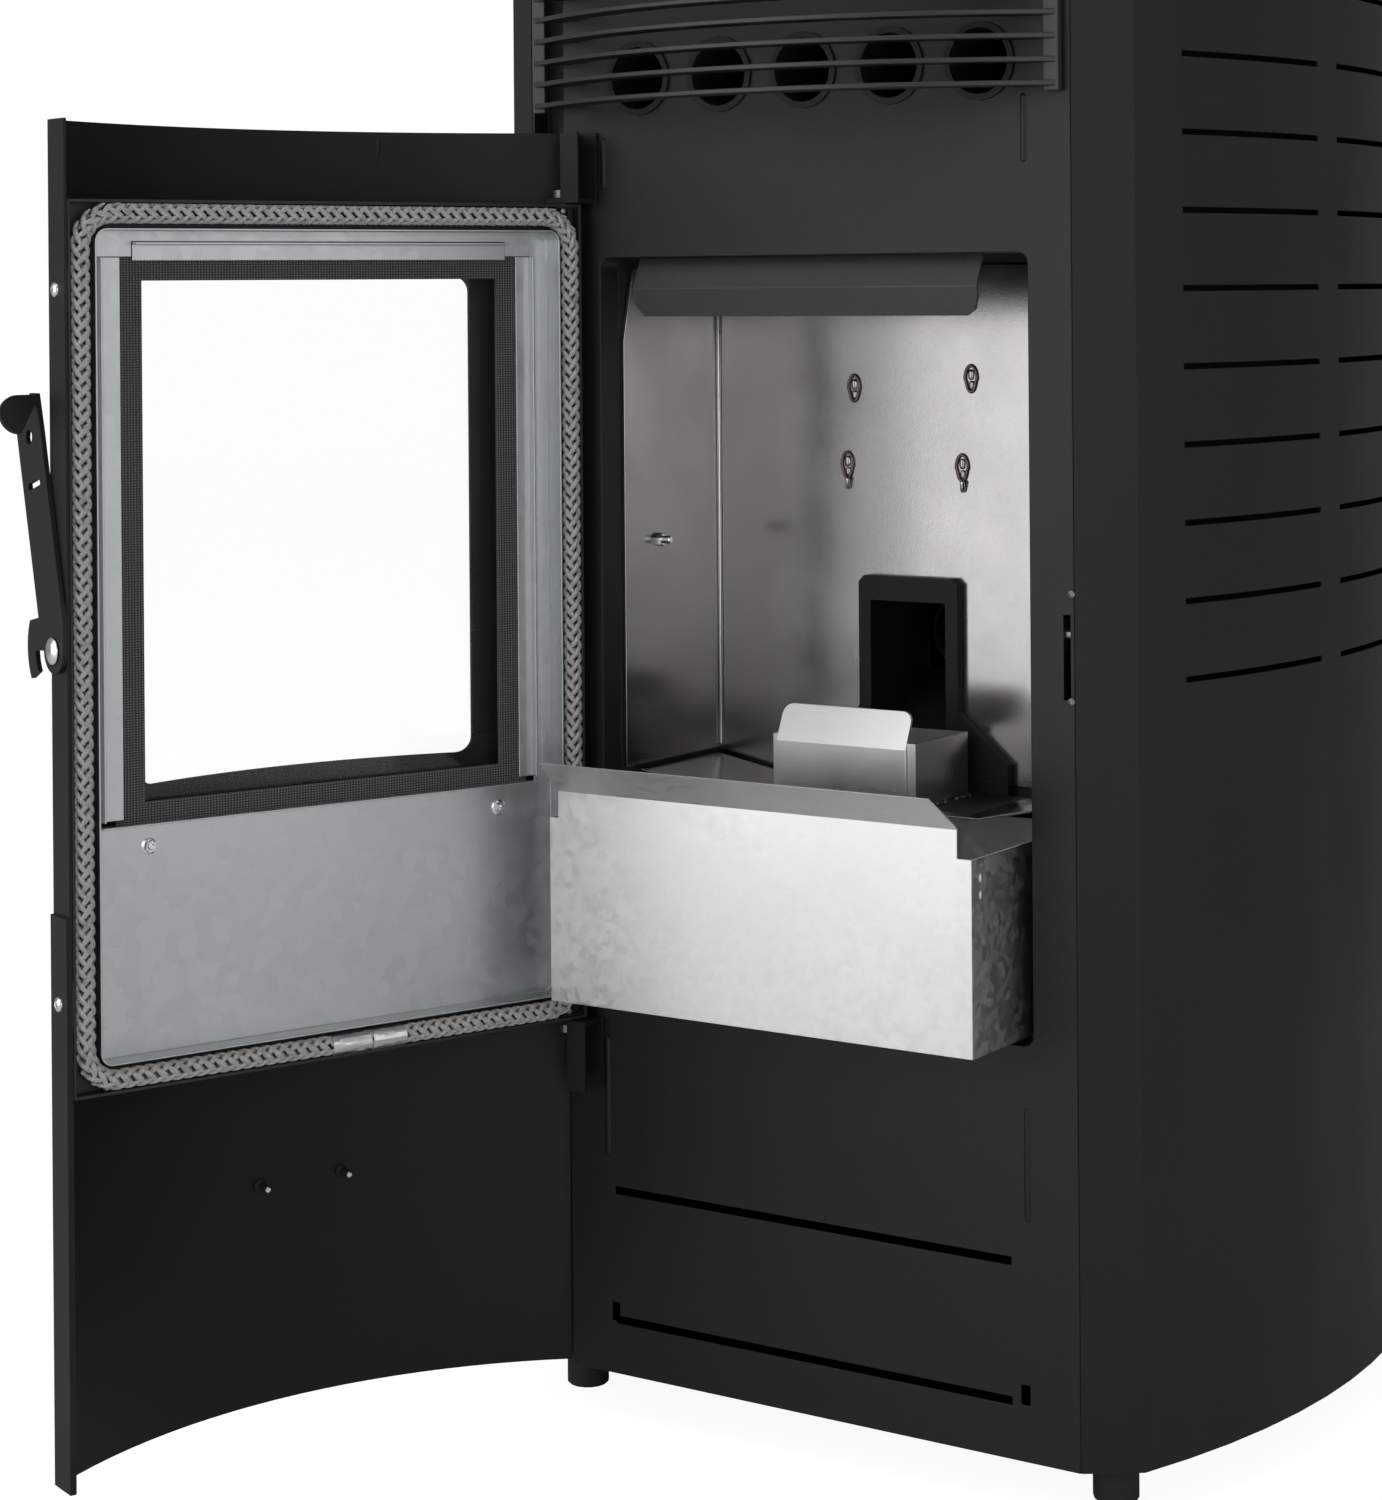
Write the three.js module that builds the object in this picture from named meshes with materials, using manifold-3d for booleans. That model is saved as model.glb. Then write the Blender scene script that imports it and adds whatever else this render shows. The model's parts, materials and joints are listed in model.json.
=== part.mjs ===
// Pellet stove with its door open and its ash drawer pulled out, in millimetres, +Z up.
// While it is built, x runs to the right and y to the back, with y = 0 on the front plate's face,
// x = 0 half way across the body and z = 0 on the floor.
import * as THREE from 'three';
import { mergeVertices } from 'three/addons/utils/BufferGeometryUtils.js';
import Module from 'manifold-3d';

const wasm = await Module();
wasm.setup();

// ---- Clearances and sheets ----
const GAP = 0.3;
const RUNNING = 0.5;
const SHEET = 2;
const THIN = 1.2;

// ---- Body ----
const CORNER_X = 197;
const BEVEL_WIDTH = 31;
const BEVEL_DEPTH = 22;
const BOW = 40;
const BODY_DEPTH = 480;
const BODY_LOW = 30;
const BODY_TOP = 975;
const BASE_THICK = 3;
const FOOT_RADIUS = 14;
const FOOT_STEM = 5;
const FOOT_INSET = 50;
const SIDE_SLOT_FIRST = 493;
const SIDE_SLOT_PITCH = 46.8;
const SIDE_SLOT_ROWS = 10;
const SIDE_SLOT_HIGH = 3.5;
const SIDE_SLOT_LONG = 145;
const SIDE_SLOT_FRONT = 60;
const SIDE_SLOT_BRIDGE = 28;

// ---- Front plate and mouth ----
const MOUTH_LEFT = -143;
const MOUTH_RIGHT = 167.5;
const MOUTH_LOW = 278;
const MOUTH_TOP = 751;
const MOUTH_ROUND = 7;
const JAMB_DEEP = 20;
const POCKET_DEEP = 15;
const POCKET_EDGE = 8.5;
const FRONT_SLOT_HIGH = 5;
const FRONT_SLOTS = [65, 148.5];

// ---- Air grille and heat tubes ----
const TUBE_COUNT = 5;
const TUBE_PITCH = 62;
const TUBE_BORE = 20;
const TUBE_WALL = 1.5;
const TUBE_COLLAR = 24;
const TUBE_HIGH = 866;
const SLAT_COUNT = 9;
const SLAT_PITCH = 14;
const SLAT_FIRST = 849;
const SLAT_THICK = 3;
const SLAT_DEEP = 18;
const SLAT_BOW = 60;
const GRILLE_HALF = 190;

// ---- Firebox ----
const BACK_LINER_Y = 134;
const LINER = 2.7;
const BOX_WALL = 3;
const ASH_DEEP = 170;
const CHAMBER_HIGH = 130;
const CHAMBER_BACK = 237;
const FLOOR_HIGH = 404.5;
const FLOOR_RISE = 12.5;
const FLOOR_FRONT = 36;
const BURNER_LEFT = -62;
const BURNER_RIGHT = 100;
const BURNER_FRONT = 48;
const BURNER_THICK = 3.5;
const POT_LEFT = -45;
const POT_RIGHT = 60;
const POT_FRONT = 50;
const POT_BACK = 118;
const POT_HIGH = 40;
const CHUTE_LEFT = -17;
const CHUTE_RIGHT = 39;
const CHUTE_LOW = 430;
const CHUTE_TOP = 525;
const CHUTE_FRAME = 9;
const CHUTE_DEEP = 73;

// ---- Ash drawer ----
const DRAWER_LEFT = -141.5;
const DRAWER_RIGHT = 160.5;
const DRAWER_FRONT = -62;
const DRAWER_DEEP = 150;
const DRAWER_LOW = 282;
const DRAWER_HIGH = 116;
const DRAWER_CREASE = 133;
const DRAWER_LIP = 21;
const DRAWER_LEAN = 26;

// ---- Door, given as it stands when it is closed ----
const HINGE_X = -163;
const HINGE_Y = -14;
const DOOR_OPEN = 111.1;
const DOOR_LOW = 32;
const DOOR_TOP = 833;
const DOOR_RIGHT = 190;
const DOOR_EDGE_Y = -24;
const DOOR_EDGE_DEEP = 22;
const DOOR_BOW = 55;
const DOOR_LEFT = -175;
const WINDOW_HALF = 118;
const WINDOW_LOW = 431;
const WINDOW_TOP = 740;
const FRAME_LEFT = -172;
const FRAME_RIGHT = 186.5;
const FRAME_LOW = 260;
const FRAME_TOP = 786;
const FRAME_LIP = -5;
const ROPE_SEAT = -13;
const ROPE_RADIUS = 6;
const ROPE_INSET = 8.4;
const ROPE_CORNER = 20;
const TRAY_INSET = 17;
const TRAY_ROUND = 8;
const TRAY_LIP = -4;
const TRAY_FLOOR = -20;
const PANEL_EDGE = 415;
const GLASS_LEFT = -136;
const GLASS_RIGHT = 151;
const GLASS_LOW = 408;
const GLASS_TOP = 757;
const GLASS_THICK = 4;
const GASKET_WIDE = 19;
const RETAINER_WIDE = 11;
const FREE_RETAINER_WIDE = 15;
const HINGE_PIN = 3.5;

// ---- Latch lever ----
const LEVER_Y = -14;
const LEVER_Z = 522;
const LEVER_THICK = 3;
const LEVER_BOSS = 13.5;
const HOOK_INNER = 25.3;
const HOOK_OUTER = 36.5;
const LEVER_TAB = 26.5;
const STRIKE_LOW = 486;
const STRIKE_TOP = 536;

// ---- Top, hopper and works ----
const COVER_HIGH = 45;
const COVER_WALL = 2.5;
const LID_LEFT = -170;
const LID_RIGHT = 170;
const LID_FRONT = 312;
const LID_BACK = 462;
const LID_THICK = 5;
const LID_PIN = 1.7;
const CONSOLE_WIDE = 150;
const CONSOLE_DEEP = 70;
const CONSOLE_HIGH = 10;
const CONSOLE_Y = 90;
const BUTTON_RADIUS = 8;
const BUTTON_PITCH = 28;
const BUTTON_PROUD = 3;
const HOPPER_WALL = 1.5;
const HOPPER_SHOULDER = 650;
const AUGER_RADIUS = 26;
const AUGER_WALL = 2;
const AUGER_LONG = 190;
const AUGER_SHAFT = 6;
const EXHAUST_X = 120;
const EXHAUST_Z = 190;
const EXHAUST_RADIUS = 62;
const EXHAUST_DEEP = 80;
const FLUE_RADIUS = 40;
const FLUE_PROUD = 50;
const INTAKE_X = -60;
const INTAKE_Z = 210;
const INTAKE_RADIUS = 25;
const SWITCH_Z = 85;

// ---- Finishes ----
const finish = (color, roughness, metalness) => {
  return new THREE.MeshStandardMaterial({ color, roughness, metalness });
};
const PAINT = () => finish(0x262526, 0.55, 0.3);
const BLACK_STEEL = () => finish(0x1b1b1c, 0.6, 0.4);
const ZINC = () => finish(0xb4b9bb, 0.4, 0.9);
const STAINLESS = () => finish(0x9c9791, 0.32, 1);
const BRIGHT = () => finish(0xcfd0d2, 0.2, 1);
const ROPE = () => finish(0x77736c, 0.95, 0);
const PLASTIC = () => finish(0x151515, 0.5, 0);
const glassFinish = () => new THREE.MeshStandardMaterial({
  color: 0xdfe6e6,
  roughness: 0.05,
  transparent: true,
  opacity: 0.3,
});

// ---- Solids ----
const radians = THREE.MathUtils.degToRad;

function toSolid(geometry) {
  geometry.deleteAttribute('normal');
  geometry.deleteAttribute('uv');
  const merged = mergeVertices(geometry, 1e-4);
  const vertProperties = merged.attributes.position.array;
  const corners = merged.index.array;
  const kept = [];
  for (let i = 0; i < corners.length; i += 3) {
    const [a, b, c] = corners.slice(i, i + 3);
    if (a !== b && b !== c && c !== a) kept.push(a, b, c);
  }
  const triVerts = new Uint32Array(kept);
  return new wasm.Manifold(new wasm.Mesh({ numProp: 3, vertProperties, triVerts }));
}

function toGeometry(solid) {
  const mesh = solid.getMesh();
  const geometry = new THREE.BufferGeometry();
  geometry.setAttribute('position', new THREE.BufferAttribute(mesh.vertProperties, 3));
  geometry.setIndex(new THREE.BufferAttribute(mesh.triVerts, 1));
  return geometry;
}

function block(x, y, z) {
  const geometry = new THREE.BoxGeometry(x[1] - x[0], y[1] - y[0], z[1] - z[0]);
  geometry.translate((x[0] + x[1]) / 2, (y[0] + y[1]) / 2, (z[0] + z[1]) / 2);
  return toSolid(geometry);
}

function extrude(shape, depth, curveSegments) {
  return new THREE.ExtrudeGeometry(shape, { depth, bevelEnabled: false, curveSegments });
}

// An outline of (x, y) that stands up between two heights.
function upright(shape, z, curveSegments = 8) {
  const geometry = extrude(shape, z[1] - z[0], curveSegments);
  geometry.translate(0, 0, z[0]);
  return toSolid(geometry);
}

// An outline of (x, z) that runs from front to back.
function endways(shape, y, curveSegments = 8) {
  const geometry = extrude(shape, y[1] - y[0], curveSegments);
  geometry.rotateX(Math.PI / 2);
  geometry.translate(0, y[1], 0);
  return toSolid(geometry);
}

// An outline of (y, z) that runs from left to right.
function sideways(shape, x, curveSegments = 8) {
  const geometry = extrude(shape, x[1] - x[0], curveSegments);
  geometry.applyMatrix4(new THREE.Matrix4().set(0, 0, 1, 0, 1, 0, 0, 0, 0, 1, 0, 0, 0, 0, 0, 1));
  geometry.translate(x[0], 0, 0);
  return toSolid(geometry);
}

const outline = (points) => new THREE.Shape(points.map(([a, b]) => new THREE.Vector2(a, b)));

function rectangle(a, b, round = 0) {
  if (round === 0) return outline([[a[0], b[0]], [a[1], b[0]], [a[1], b[1]], [a[0], b[1]]]);
  const shape = new THREE.Shape();
  shape.moveTo(a[0] + round, b[0]);
  shape.absarc(a[1] - round, b[0] + round, round, -Math.PI / 2, 0);
  shape.absarc(a[1] - round, b[1] - round, round, 0, Math.PI / 2);
  shape.absarc(a[0] + round, b[1] - round, round, Math.PI / 2, Math.PI);
  shape.absarc(a[0] + round, b[0] + round, round, Math.PI, 1.5 * Math.PI);
  return shape;
}

// A round bar or tube along x, y or z. Its profile is a list of [radius, distance along].
function turned(axis, centre, profile, sides = 24) {
  const points = profile.map(([radius, along]) => new THREE.Vector2(radius, along));
  const geometry = new THREE.LatheGeometry(points, sides);
  if (axis === 'x') geometry.rotateZ(-Math.PI / 2);
  if (axis === 'z') geometry.rotateX(Math.PI / 2);
  geometry.translate(...centre);
  return toSolid(geometry);
}

const bar = (radius, from, to) => [[0, from], [radius, from], [radius, to], [0, to]];
const tube = (inner, outer, from, to) => [
  [inner, from],
  [outer, from],
  [outer, to],
  [inner, to],
  [inner, from],
];

// A line of points moved to the right of its direction, with its corners mitred.
function beside(points, distance) {
  const line = points.map(([a, b]) => new THREE.Vector2(a, b));
  const normal = (from, to) => {
    const along = to.clone().sub(from).normalize();
    return new THREE.Vector2(along.y, -along.x);
  };
  return line.map((point, i) => {
    const before = i > 0 ? normal(line[i - 1], point) : normal(point, line[1]);
    const after = i < line.length - 1 ? normal(point, line[i + 1]) : before;
    const mitre = before.clone().add(after).normalize();
    const moved = point.clone().addScaledVector(mitre, distance / mitre.dot(before));
    return [moved.x, moved.y];
  });
}

// A folded sheet's section: the line of its outer face, thickened to the right of its direction.
const folded = (points, thickness) => outline([...points, ...beside(points, thickness).reverse()]);

// Points of the arc from a to b that stands proud of its chord by rise, to the right of its direction.
function bowed(a, b, rise, steps) {
  const from = new THREE.Vector2(...a);
  const to = new THREE.Vector2(...b);
  const half = from.distanceTo(to) / 2;
  const radius = (half * half + rise * rise) / (2 * rise);
  const along = to.clone().sub(from).normalize();
  const out = new THREE.Vector2(along.y, -along.x);
  const middle = from.clone().add(to).multiplyScalar(0.5);
  const centre = middle.clone().addScaledVector(out, rise - radius);
  const start = from.clone().sub(centre);
  const sweep = 2 * Math.asin(half / radius);
  return Array.from({ length: steps + 1 }, (_, i) => {
    const point = start.clone().rotateAround(new THREE.Vector2(), (sweep * i) / steps);
    return [centre.x + point.x, centre.y + point.y];
  });
}

// A closed skin over rings of points, capped at both ends or joined end to end.
function loft(rings, closed = false) {
  const sides = rings[0].length;
  const index = [];
  const spans = closed ? rings.length : rings.length - 1;
  for (let i = 0; i < spans; i += 1) {
    for (let j = 0; j < sides; j += 1) {
      const a = i * sides + j;
      const b = i * sides + ((j + 1) % sides);
      const c = ((i + 1) % rings.length) * sides + j;
      const d = ((i + 1) % rings.length) * sides + ((j + 1) % sides);
      index.push(a, b, d, a, d, c);
    }
  }
  if (!closed) {
    const last = (rings.length - 1) * sides;
    for (let j = 1; j < sides - 1; j += 1) {
      index.push(0, j + 1, j);
      index.push(last, last + j, last + j + 1);
    }
  }
  const points = rings.flat().map((point) => new THREE.Vector3(...point));
  let volume = 0;
  for (let i = 0; i < index.length; i += 3) {
    volume += points[index[i]].dot(points[index[i + 1]].clone().cross(points[index[i + 2]]));
  }
  if (volume < 0) index.reverse();
  const geometry = new THREE.BufferGeometry().setFromPoints(points);
  geometry.setIndex(index);
  return toSolid(geometry);
}

const union = (solids) => solids.reduce((whole, solid) => whole.add(solid));

const stove = new THREE.Group();

function place(name, solid, material, parent = stove) {
  const mesh = new THREE.Mesh(toGeometry(solid), material);
  mesh.name = name;
  parent.add(mesh);
  return mesh;
}

// ---- Places that follow from the sizes ----
const BEVEL_X = CORNER_X + BEVEL_WIDTH;
const MOUTH_X = [MOUTH_LEFT, MOUTH_RIGHT];
const MOUTH_MIDDLE = (MOUTH_LEFT + MOUTH_RIGHT) / 2;
const BODY_Z = [BODY_LOW, BODY_TOP];
const BACK_INSIDE = BODY_DEPTH - SHEET;
const POCKET_RIGHT = HINGE_X - POCKET_EDGE;
const COVER_LOW = BODY_TOP + GAP;
const COVER_TOP = COVER_LOW + COVER_HIGH;
const TUBE_OUTER = TUBE_BORE + TUBE_WALL;
const TUBE_BACK = CHAMBER_BACK + 2 * BOX_WALL;
const tubeCentres = Array.from({ length: TUBE_COUNT }, (_, i) => {
  return MOUTH_MIDDLE + (i - (TUBE_COUNT - 1) / 2) * TUBE_PITCH;
});
const WIDE = [-2 * BODY_DEPTH, 2 * BODY_DEPTH];

const bodySide = [
  [CORNER_X, 0],
  ...bowed([BEVEL_X, BEVEL_DEPTH], [BEVEL_X, BODY_DEPTH - BEVEL_DEPTH], BOW, 12),
  [CORNER_X, BODY_DEPTH],
];
const mirrored = (points) => points.map(([x, y]) => [-x, y]);
const insideLine = (inset) => {
  const line = [...bodySide].reverse();
  return inset === 0 ? line : beside(line, inset);
};

// The body's plan, moved in from its outside.
function bodyPlan(inset, z) {
  const right = insideLine(inset);
  const plan = upright(outline([...right.reverse(), ...mirrored(insideLine(inset))]), z);
  return plan.intersect(block(WIDE, [inset, BODY_DEPTH - inset], z));
}

// ---- Casing ----
const feetX = [-(CORNER_X - SHEET), CORNER_X - SHEET];
const feetY = [FOOT_INSET, BODY_DEPTH - FOOT_INSET];
const stemHole = FOOT_STEM + GAP;
const footHoles = feetX.flatMap((x) => {
  return feetY.map((y) => turned('z', [x, y, 0], bar(stemHole, 0, BODY_TOP), 12));
});
const basePlan = bodyPlan(SHEET + GAP, [BODY_LOW, BODY_LOW + BASE_THICK]);
const pocketRoom = block([-CORNER_X, POCKET_RIGHT + SHEET + GAP], [0, POCKET_DEEP + SHEET + GAP], BODY_Z);
place('base_plate', basePlan.subtract(union([...footHoles, pocketRoom])), PAINT());

const footProfile = [
  [0, 0],
  [FOOT_RADIUS - 1.5, 0],
  [FOOT_RADIUS, 1.5],
  [FOOT_RADIUS, BODY_LOW - 7],
  [FOOT_RADIUS - 2, BODY_LOW - 5],
  [FOOT_STEM + 4, BODY_LOW - 5],
  [FOOT_STEM + 4, BODY_LOW - GAP],
  [FOOT_STEM, BODY_LOW - GAP],
  [FOOT_STEM, BODY_LOW + 12],
  [0, BODY_LOW + 12],
];
const footNames = ['foot_left_front', 'foot_left_rear', 'foot_right_front', 'foot_right_rear'];
feetX.flatMap((x) => feetY.map((y) => [x, y, 0])).forEach((centre, i) => {
  place(footNames[i], turned('z', centre, footProfile, 16), PLASTIC());
});

// The front plate is one sheet, folded back at the left into the pocket that the door's edge swings into.
const pocketLeft = -(CORNER_X - GAP - SHEET);
const frontLine = [
  [CORNER_X - GAP, 0],
  [POCKET_RIGHT, 0],
  [POCKET_RIGHT, POCKET_DEEP],
  [pocketLeft, POCKET_DEEP],
  [pocketLeft, 0],
];
const mouth = (grow, y) => {
  const x = [MOUTH_LEFT - grow, MOUTH_RIGHT + grow];
  const z = [MOUTH_LOW - grow, MOUTH_TOP + grow];
  return endways(rectangle(x, z, MOUTH_ROUND + grow), y, 4);
};
const lowSlots = FRONT_SLOTS.map((z) => {
  const x = [MOUTH_LEFT + 6, MOUTH_RIGHT - 16];
  return block(x, [-1, SHEET + 1], [z - FRONT_SLOT_HIGH / 2, z + FRONT_SLOT_HIGH / 2]);
});
const slotEnds = [MOUTH_LEFT + 3, MOUTH_RIGHT - 10].map((x) => {
  return block([x, x + 6], [-1, SHEET + 1], [FRONT_SLOTS[0] - 1, FRONT_SLOTS[0] + 11]);
});
const leverX = [DOOR_RIGHT + GAP, DOOR_RIGHT + GAP + LEVER_THICK];
const strikeSlot = block([leverX[0] - 0.7, leverX[1] + 0.7], [-1, SHEET + 1], [STRIKE_LOW, STRIKE_TOP]);
const tubeHoles = (radius, y) => {
  return tubeCentres.map((x) => turned('y', [x, 0, TUBE_HIGH], bar(radius, ...y), 20));
};
const frontPlate = upright(folded(frontLine, SHEET), BODY_Z)
  .add(mouth(SHEET, [0, JAMB_DEEP]))
  .subtract(mouth(0, [-1, JAMB_DEEP + 1]))
  .subtract(union([...lowSlots, ...slotEnds, strikeSlot]))
  .subtract(union(tubeHoles(TUBE_OUTER + GAP, [-1, SHEET + 1])));
place('front_plate', frontPlate, PAINT());

function sidePanel(side) {
  const line = side > 0 ? [...bodySide].reverse() : mirrored(bodySide);
  const reach = (a, b) => (side > 0 ? [a, b] : [-b, -a]);
  const ends = [[-1, BEVEL_DEPTH], [BODY_DEPTH - BEVEL_DEPTH, BODY_DEPTH + 1]];
  const trims = ends.map((y) => block(reach(0, CORNER_X), y, [0, BODY_TOP + 1]));
  const slots = [];
  for (let row = 0; row < SIDE_SLOT_ROWS; row += 1) {
    const z = SIDE_SLOT_FIRST + row * SIDE_SLOT_PITCH;
    for (let column = 0; column < 2; column += 1) {
      const y = SIDE_SLOT_FRONT + column * (SIDE_SLOT_LONG + SIDE_SLOT_BRIDGE);
      slots.push(block(reach(CORNER_X, BEVEL_X + 2 * BOW), [y, y + SIDE_SLOT_LONG], [z, z + SIDE_SLOT_HIGH]));
    }
  }
  return upright(folded(line, SHEET), BODY_Z).subtract(union([...trims, ...slots]));
}
place('side_panel_left', sidePanel(-1), PAINT());
place('side_panel_right', sidePanel(1), PAINT());

// ---- Rear panel with the outlets and the mains inlet ----
const inletX = [-170, -142];
const switchX = [-130, -109];
const inletZ = [SWITCH_Z - 10, SWITCH_Z + 10];
const rearHoles = [
  turned('y', [EXHAUST_X, 0, EXHAUST_Z], bar(FLUE_RADIUS + GAP, BACK_INSIDE - 1, BODY_DEPTH + 1), 32),
  turned('y', [INTAKE_X, 0, INTAKE_Z], bar(INTAKE_RADIUS + GAP, BACK_INSIDE - 1, BODY_DEPTH + 1), 24),
  block(inletX, [BACK_INSIDE - 1, BODY_DEPTH + 1], inletZ),
  block(switchX, [BACK_INSIDE - 1, BODY_DEPTH + 1], inletZ),
];
const rearSlots = Array.from({ length: 8 }, (_, i) => {
  const z = 330 + 24 * i;
  return block([-150, 150], [BACK_INSIDE - 1, BODY_DEPTH + 1], [z, z + 5]);
});
const rearX = [-(CORNER_X - GAP), CORNER_X - GAP];
const rearPanel = block(rearX, [BACK_INSIDE, BODY_DEPTH], BODY_Z);
place('rear_panel', rearPanel.subtract(union([...rearHoles, ...rearSlots])), PAINT());

const inBy = (range, gap) => [range[0] + gap, range[1] - gap];
const inletBody = block(inBy(inletX, GAP), [BACK_INSIDE - 22, BODY_DEPTH], inBy(inletZ, GAP));
const inletRim = block(inBy(inletX, -3), [BODY_DEPTH + GAP, BODY_DEPTH + 2.5], inBy(inletZ, -3));
const inletNeck = block(inBy(inletX, GAP), [BODY_DEPTH - 1, BODY_DEPTH + 1], inBy(inletZ, GAP));
const inletHollow = block(inBy(inletX, 3), [BACK_INSIDE - 16, BODY_DEPTH + 5], inBy(inletZ, 4));
const pins = [-7, 0, 7].map((dx) => {
  const x = (inletX[0] + inletX[1]) / 2 + dx;
  return block([x - 1, x + 1], [BACK_INSIDE - 17, BODY_DEPTH - 1], [SWITCH_Z - 2.5, SWITCH_Z + 2.5]);
});
const inlet = union([inletBody, inletRim, inletNeck]).subtract(inletHollow).add(union(pins));
place('power_inlet', inlet, PLASTIC());

const rockerHalf = inletZ[1] - SWITCH_Z - 1.6;
const rockerLine = outline([
  [BACK_INSIDE - 6, SWITCH_Z - rockerHalf + 3],
  [BODY_DEPTH + 2.5, SWITCH_Z - rockerHalf],
  [BODY_DEPTH + 1, SWITCH_Z],
  [BODY_DEPTH + 2.5, SWITCH_Z + rockerHalf],
  [BACK_INSIDE - 6, SWITCH_Z + rockerHalf - 3],
]);
place('rear_switch', sideways(rockerLine, inBy(switchX, GAP)), PLASTIC());

// ---- Air grille and heat tubes ----
const grilleHigh = (SLAT_COUNT - 1) * SLAT_PITCH + SLAT_THICK;
const slatLine = bowed([-GRILLE_HALF, -SLAT_DEEP / 3], [GRILLE_HALF, -SLAT_DEEP / 3], SLAT_BOW, 12).reverse();
const slats = Array.from({ length: SLAT_COUNT }, (_, i) => {
  const z = SLAT_FIRST + i * SLAT_PITCH;
  return upright(folded(slatLine, SLAT_DEEP), [z, z + SLAT_THICK]);
});
const grilleZ = [SLAT_FIRST - SLAT_THICK, SLAT_FIRST + grilleHigh + SLAT_THICK];
const postX = [GRILLE_HALF - 8, GRILLE_HALF + 2];
const posts = [postX, [-postX[1], -postX[0]]].map((x) => block(x, [-6, -GAP], grilleZ));
const behindGrille = block(WIDE, [-GAP, BODY_DEPTH], [0, 2 * BODY_TOP]);
place('front_grille', union([...slats, ...posts]).subtract(behindGrille), BLACK_STEEL());

const heatTube = [
  [TUBE_BORE, -TUBE_WALL - GAP],
  [TUBE_COLLAR, -TUBE_WALL - GAP],
  [TUBE_COLLAR, -GAP],
  [TUBE_OUTER, -GAP],
  [TUBE_OUTER, TUBE_BACK],
  [TUBE_BORE, TUBE_BACK],
  [TUBE_BORE, -TUBE_WALL - GAP],
];
tubeCentres.forEach((x, i) => {
  place(`heat_tube_${i + 1}`, turned('y', [x, 0, TUBE_HIGH], heatTube, 20), BLACK_STEEL());
});

// ---- Firebox shell: ash compartment, combustion chamber and smoke channel, under the smoke chamber ----
const LINER_BACK = BACK_LINER_Y + LINER;
const BOX_FRONT = JAMB_DEEP + GAP;
const BOX_BACK = LINER_BACK + GAP;
const ASH_FLOOR = DRAWER_LOW - GAP;
const ASH_TOP = FLOOR_HIGH - BURNER_THICK - 1;
const ASH_BACK = JAMB_DEEP + ASH_DEEP;
const SMOKE_LOW = MOUTH_TOP + 42;
const SMOKE_TOP = SMOKE_LOW + CHAMBER_HIGH - 14;
const CHANNEL_X = [EXHAUST_X - 47, MOUTH_RIGHT];
const CHANNEL_FRONT = ASH_BACK + 2 * BOX_WALL;
const EXHAUST_TOP = EXHAUST_Z + EXHAUST_RADIUS;
const outerX = [MOUTH_LEFT - BOX_WALL, MOUTH_RIGHT + BOX_WALL];
const channelOuterX = [CHANNEL_X[0] - BOX_WALL, outerX[1]];
const ashBackHole = [ASH_BACK - 1, ASH_BACK + BOX_WALL + 1];
const augerX = (CHUTE_LEFT + CHUTE_RIGHT) / 2;
const augerZ = CHUTE_TOP - AUGER_RADIUS - 1;
const chuteBack = BACK_LINER_Y + CHUTE_DEEP;
const igniterZ = FLOOR_HIGH + 11.5;
const igniterX = (POT_LEFT + POT_RIGHT) / 2;
const igniterHole = (y) => turned('y', [igniterX, 0, igniterZ], bar(5 + GAP, ...y), 12);
const chuteHoleX = [CHUTE_LEFT - THIN - GAP, CHUTE_RIGHT + THIN + GAP];
const chuteHoleZ = [CHUTE_LOW - THIN - GAP, CHUTE_TOP + THIN + GAP];
const chuteHole = block(chuteHoleX, [BACK_LINER_Y - 1, BOX_BACK + BOX_WALL + 1], chuteHoleZ);

const boxWalls = [
  block(outerX, [BOX_FRONT, ASH_BACK + BOX_WALL], [ASH_FLOOR - BOX_WALL, ASH_TOP + BOX_WALL]),
  block(outerX, [BOX_FRONT, BOX_BACK + BOX_WALL], [ASH_FLOOR - BOX_WALL, SMOKE_LOW - GAP]),
  block(channelOuterX, [ASH_BACK, CHAMBER_BACK + BOX_WALL], [EXHAUST_TOP + GAP, SMOKE_LOW - GAP]),
];
const smokePassages = [
  block(MOUTH_X, [BOX_BACK / 2, BOX_BACK - 8], [MOUTH_TOP, SMOKE_LOW + BOX_WALL + 1]),
  block(CHANNEL_X, [CHANNEL_FRONT, CHAMBER_BACK], [EXHAUST_TOP, SMOKE_LOW + BOX_WALL + 1]),
];
const boxHollows = [
  block(MOUTH_X, [0, ASH_BACK], [ASH_FLOOR, ASH_TOP]),
  block(MOUTH_X, [0, BOX_BACK], [ASH_TOP - 1, MOUTH_TOP + 1]),
  turned('y', [INTAKE_X, 0, INTAKE_Z + 100], bar(INTAKE_RADIUS - 5, ...ashBackHole), 16),
  chuteHole,
  igniterHole([BOX_BACK - 1, BOX_BACK + BOX_WALL + 1]),
];
const fireboxShell = union(boxWalls).subtract(union([...boxHollows, ...smokePassages]));
place('firebox_shell', fireboxShell, BLACK_STEEL());

const chamberY = [BOX_FRONT, CHAMBER_BACK + BOX_WALL];
const smokeChamber = block(outerX, chamberY, [SMOKE_LOW, SMOKE_TOP + BOX_WALL])
  .subtract(block(MOUTH_X, inBy(chamberY, BOX_WALL), [SMOKE_LOW + BOX_WALL, SMOKE_TOP]))
  .subtract(union(smokePassages))
  .subtract(union(tubeHoles(TUBE_OUTER + GAP, [chamberY[0] - 1, chamberY[1] + 1])));
place('smoke_chamber', smokeChamber, BLACK_STEEL());

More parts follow.
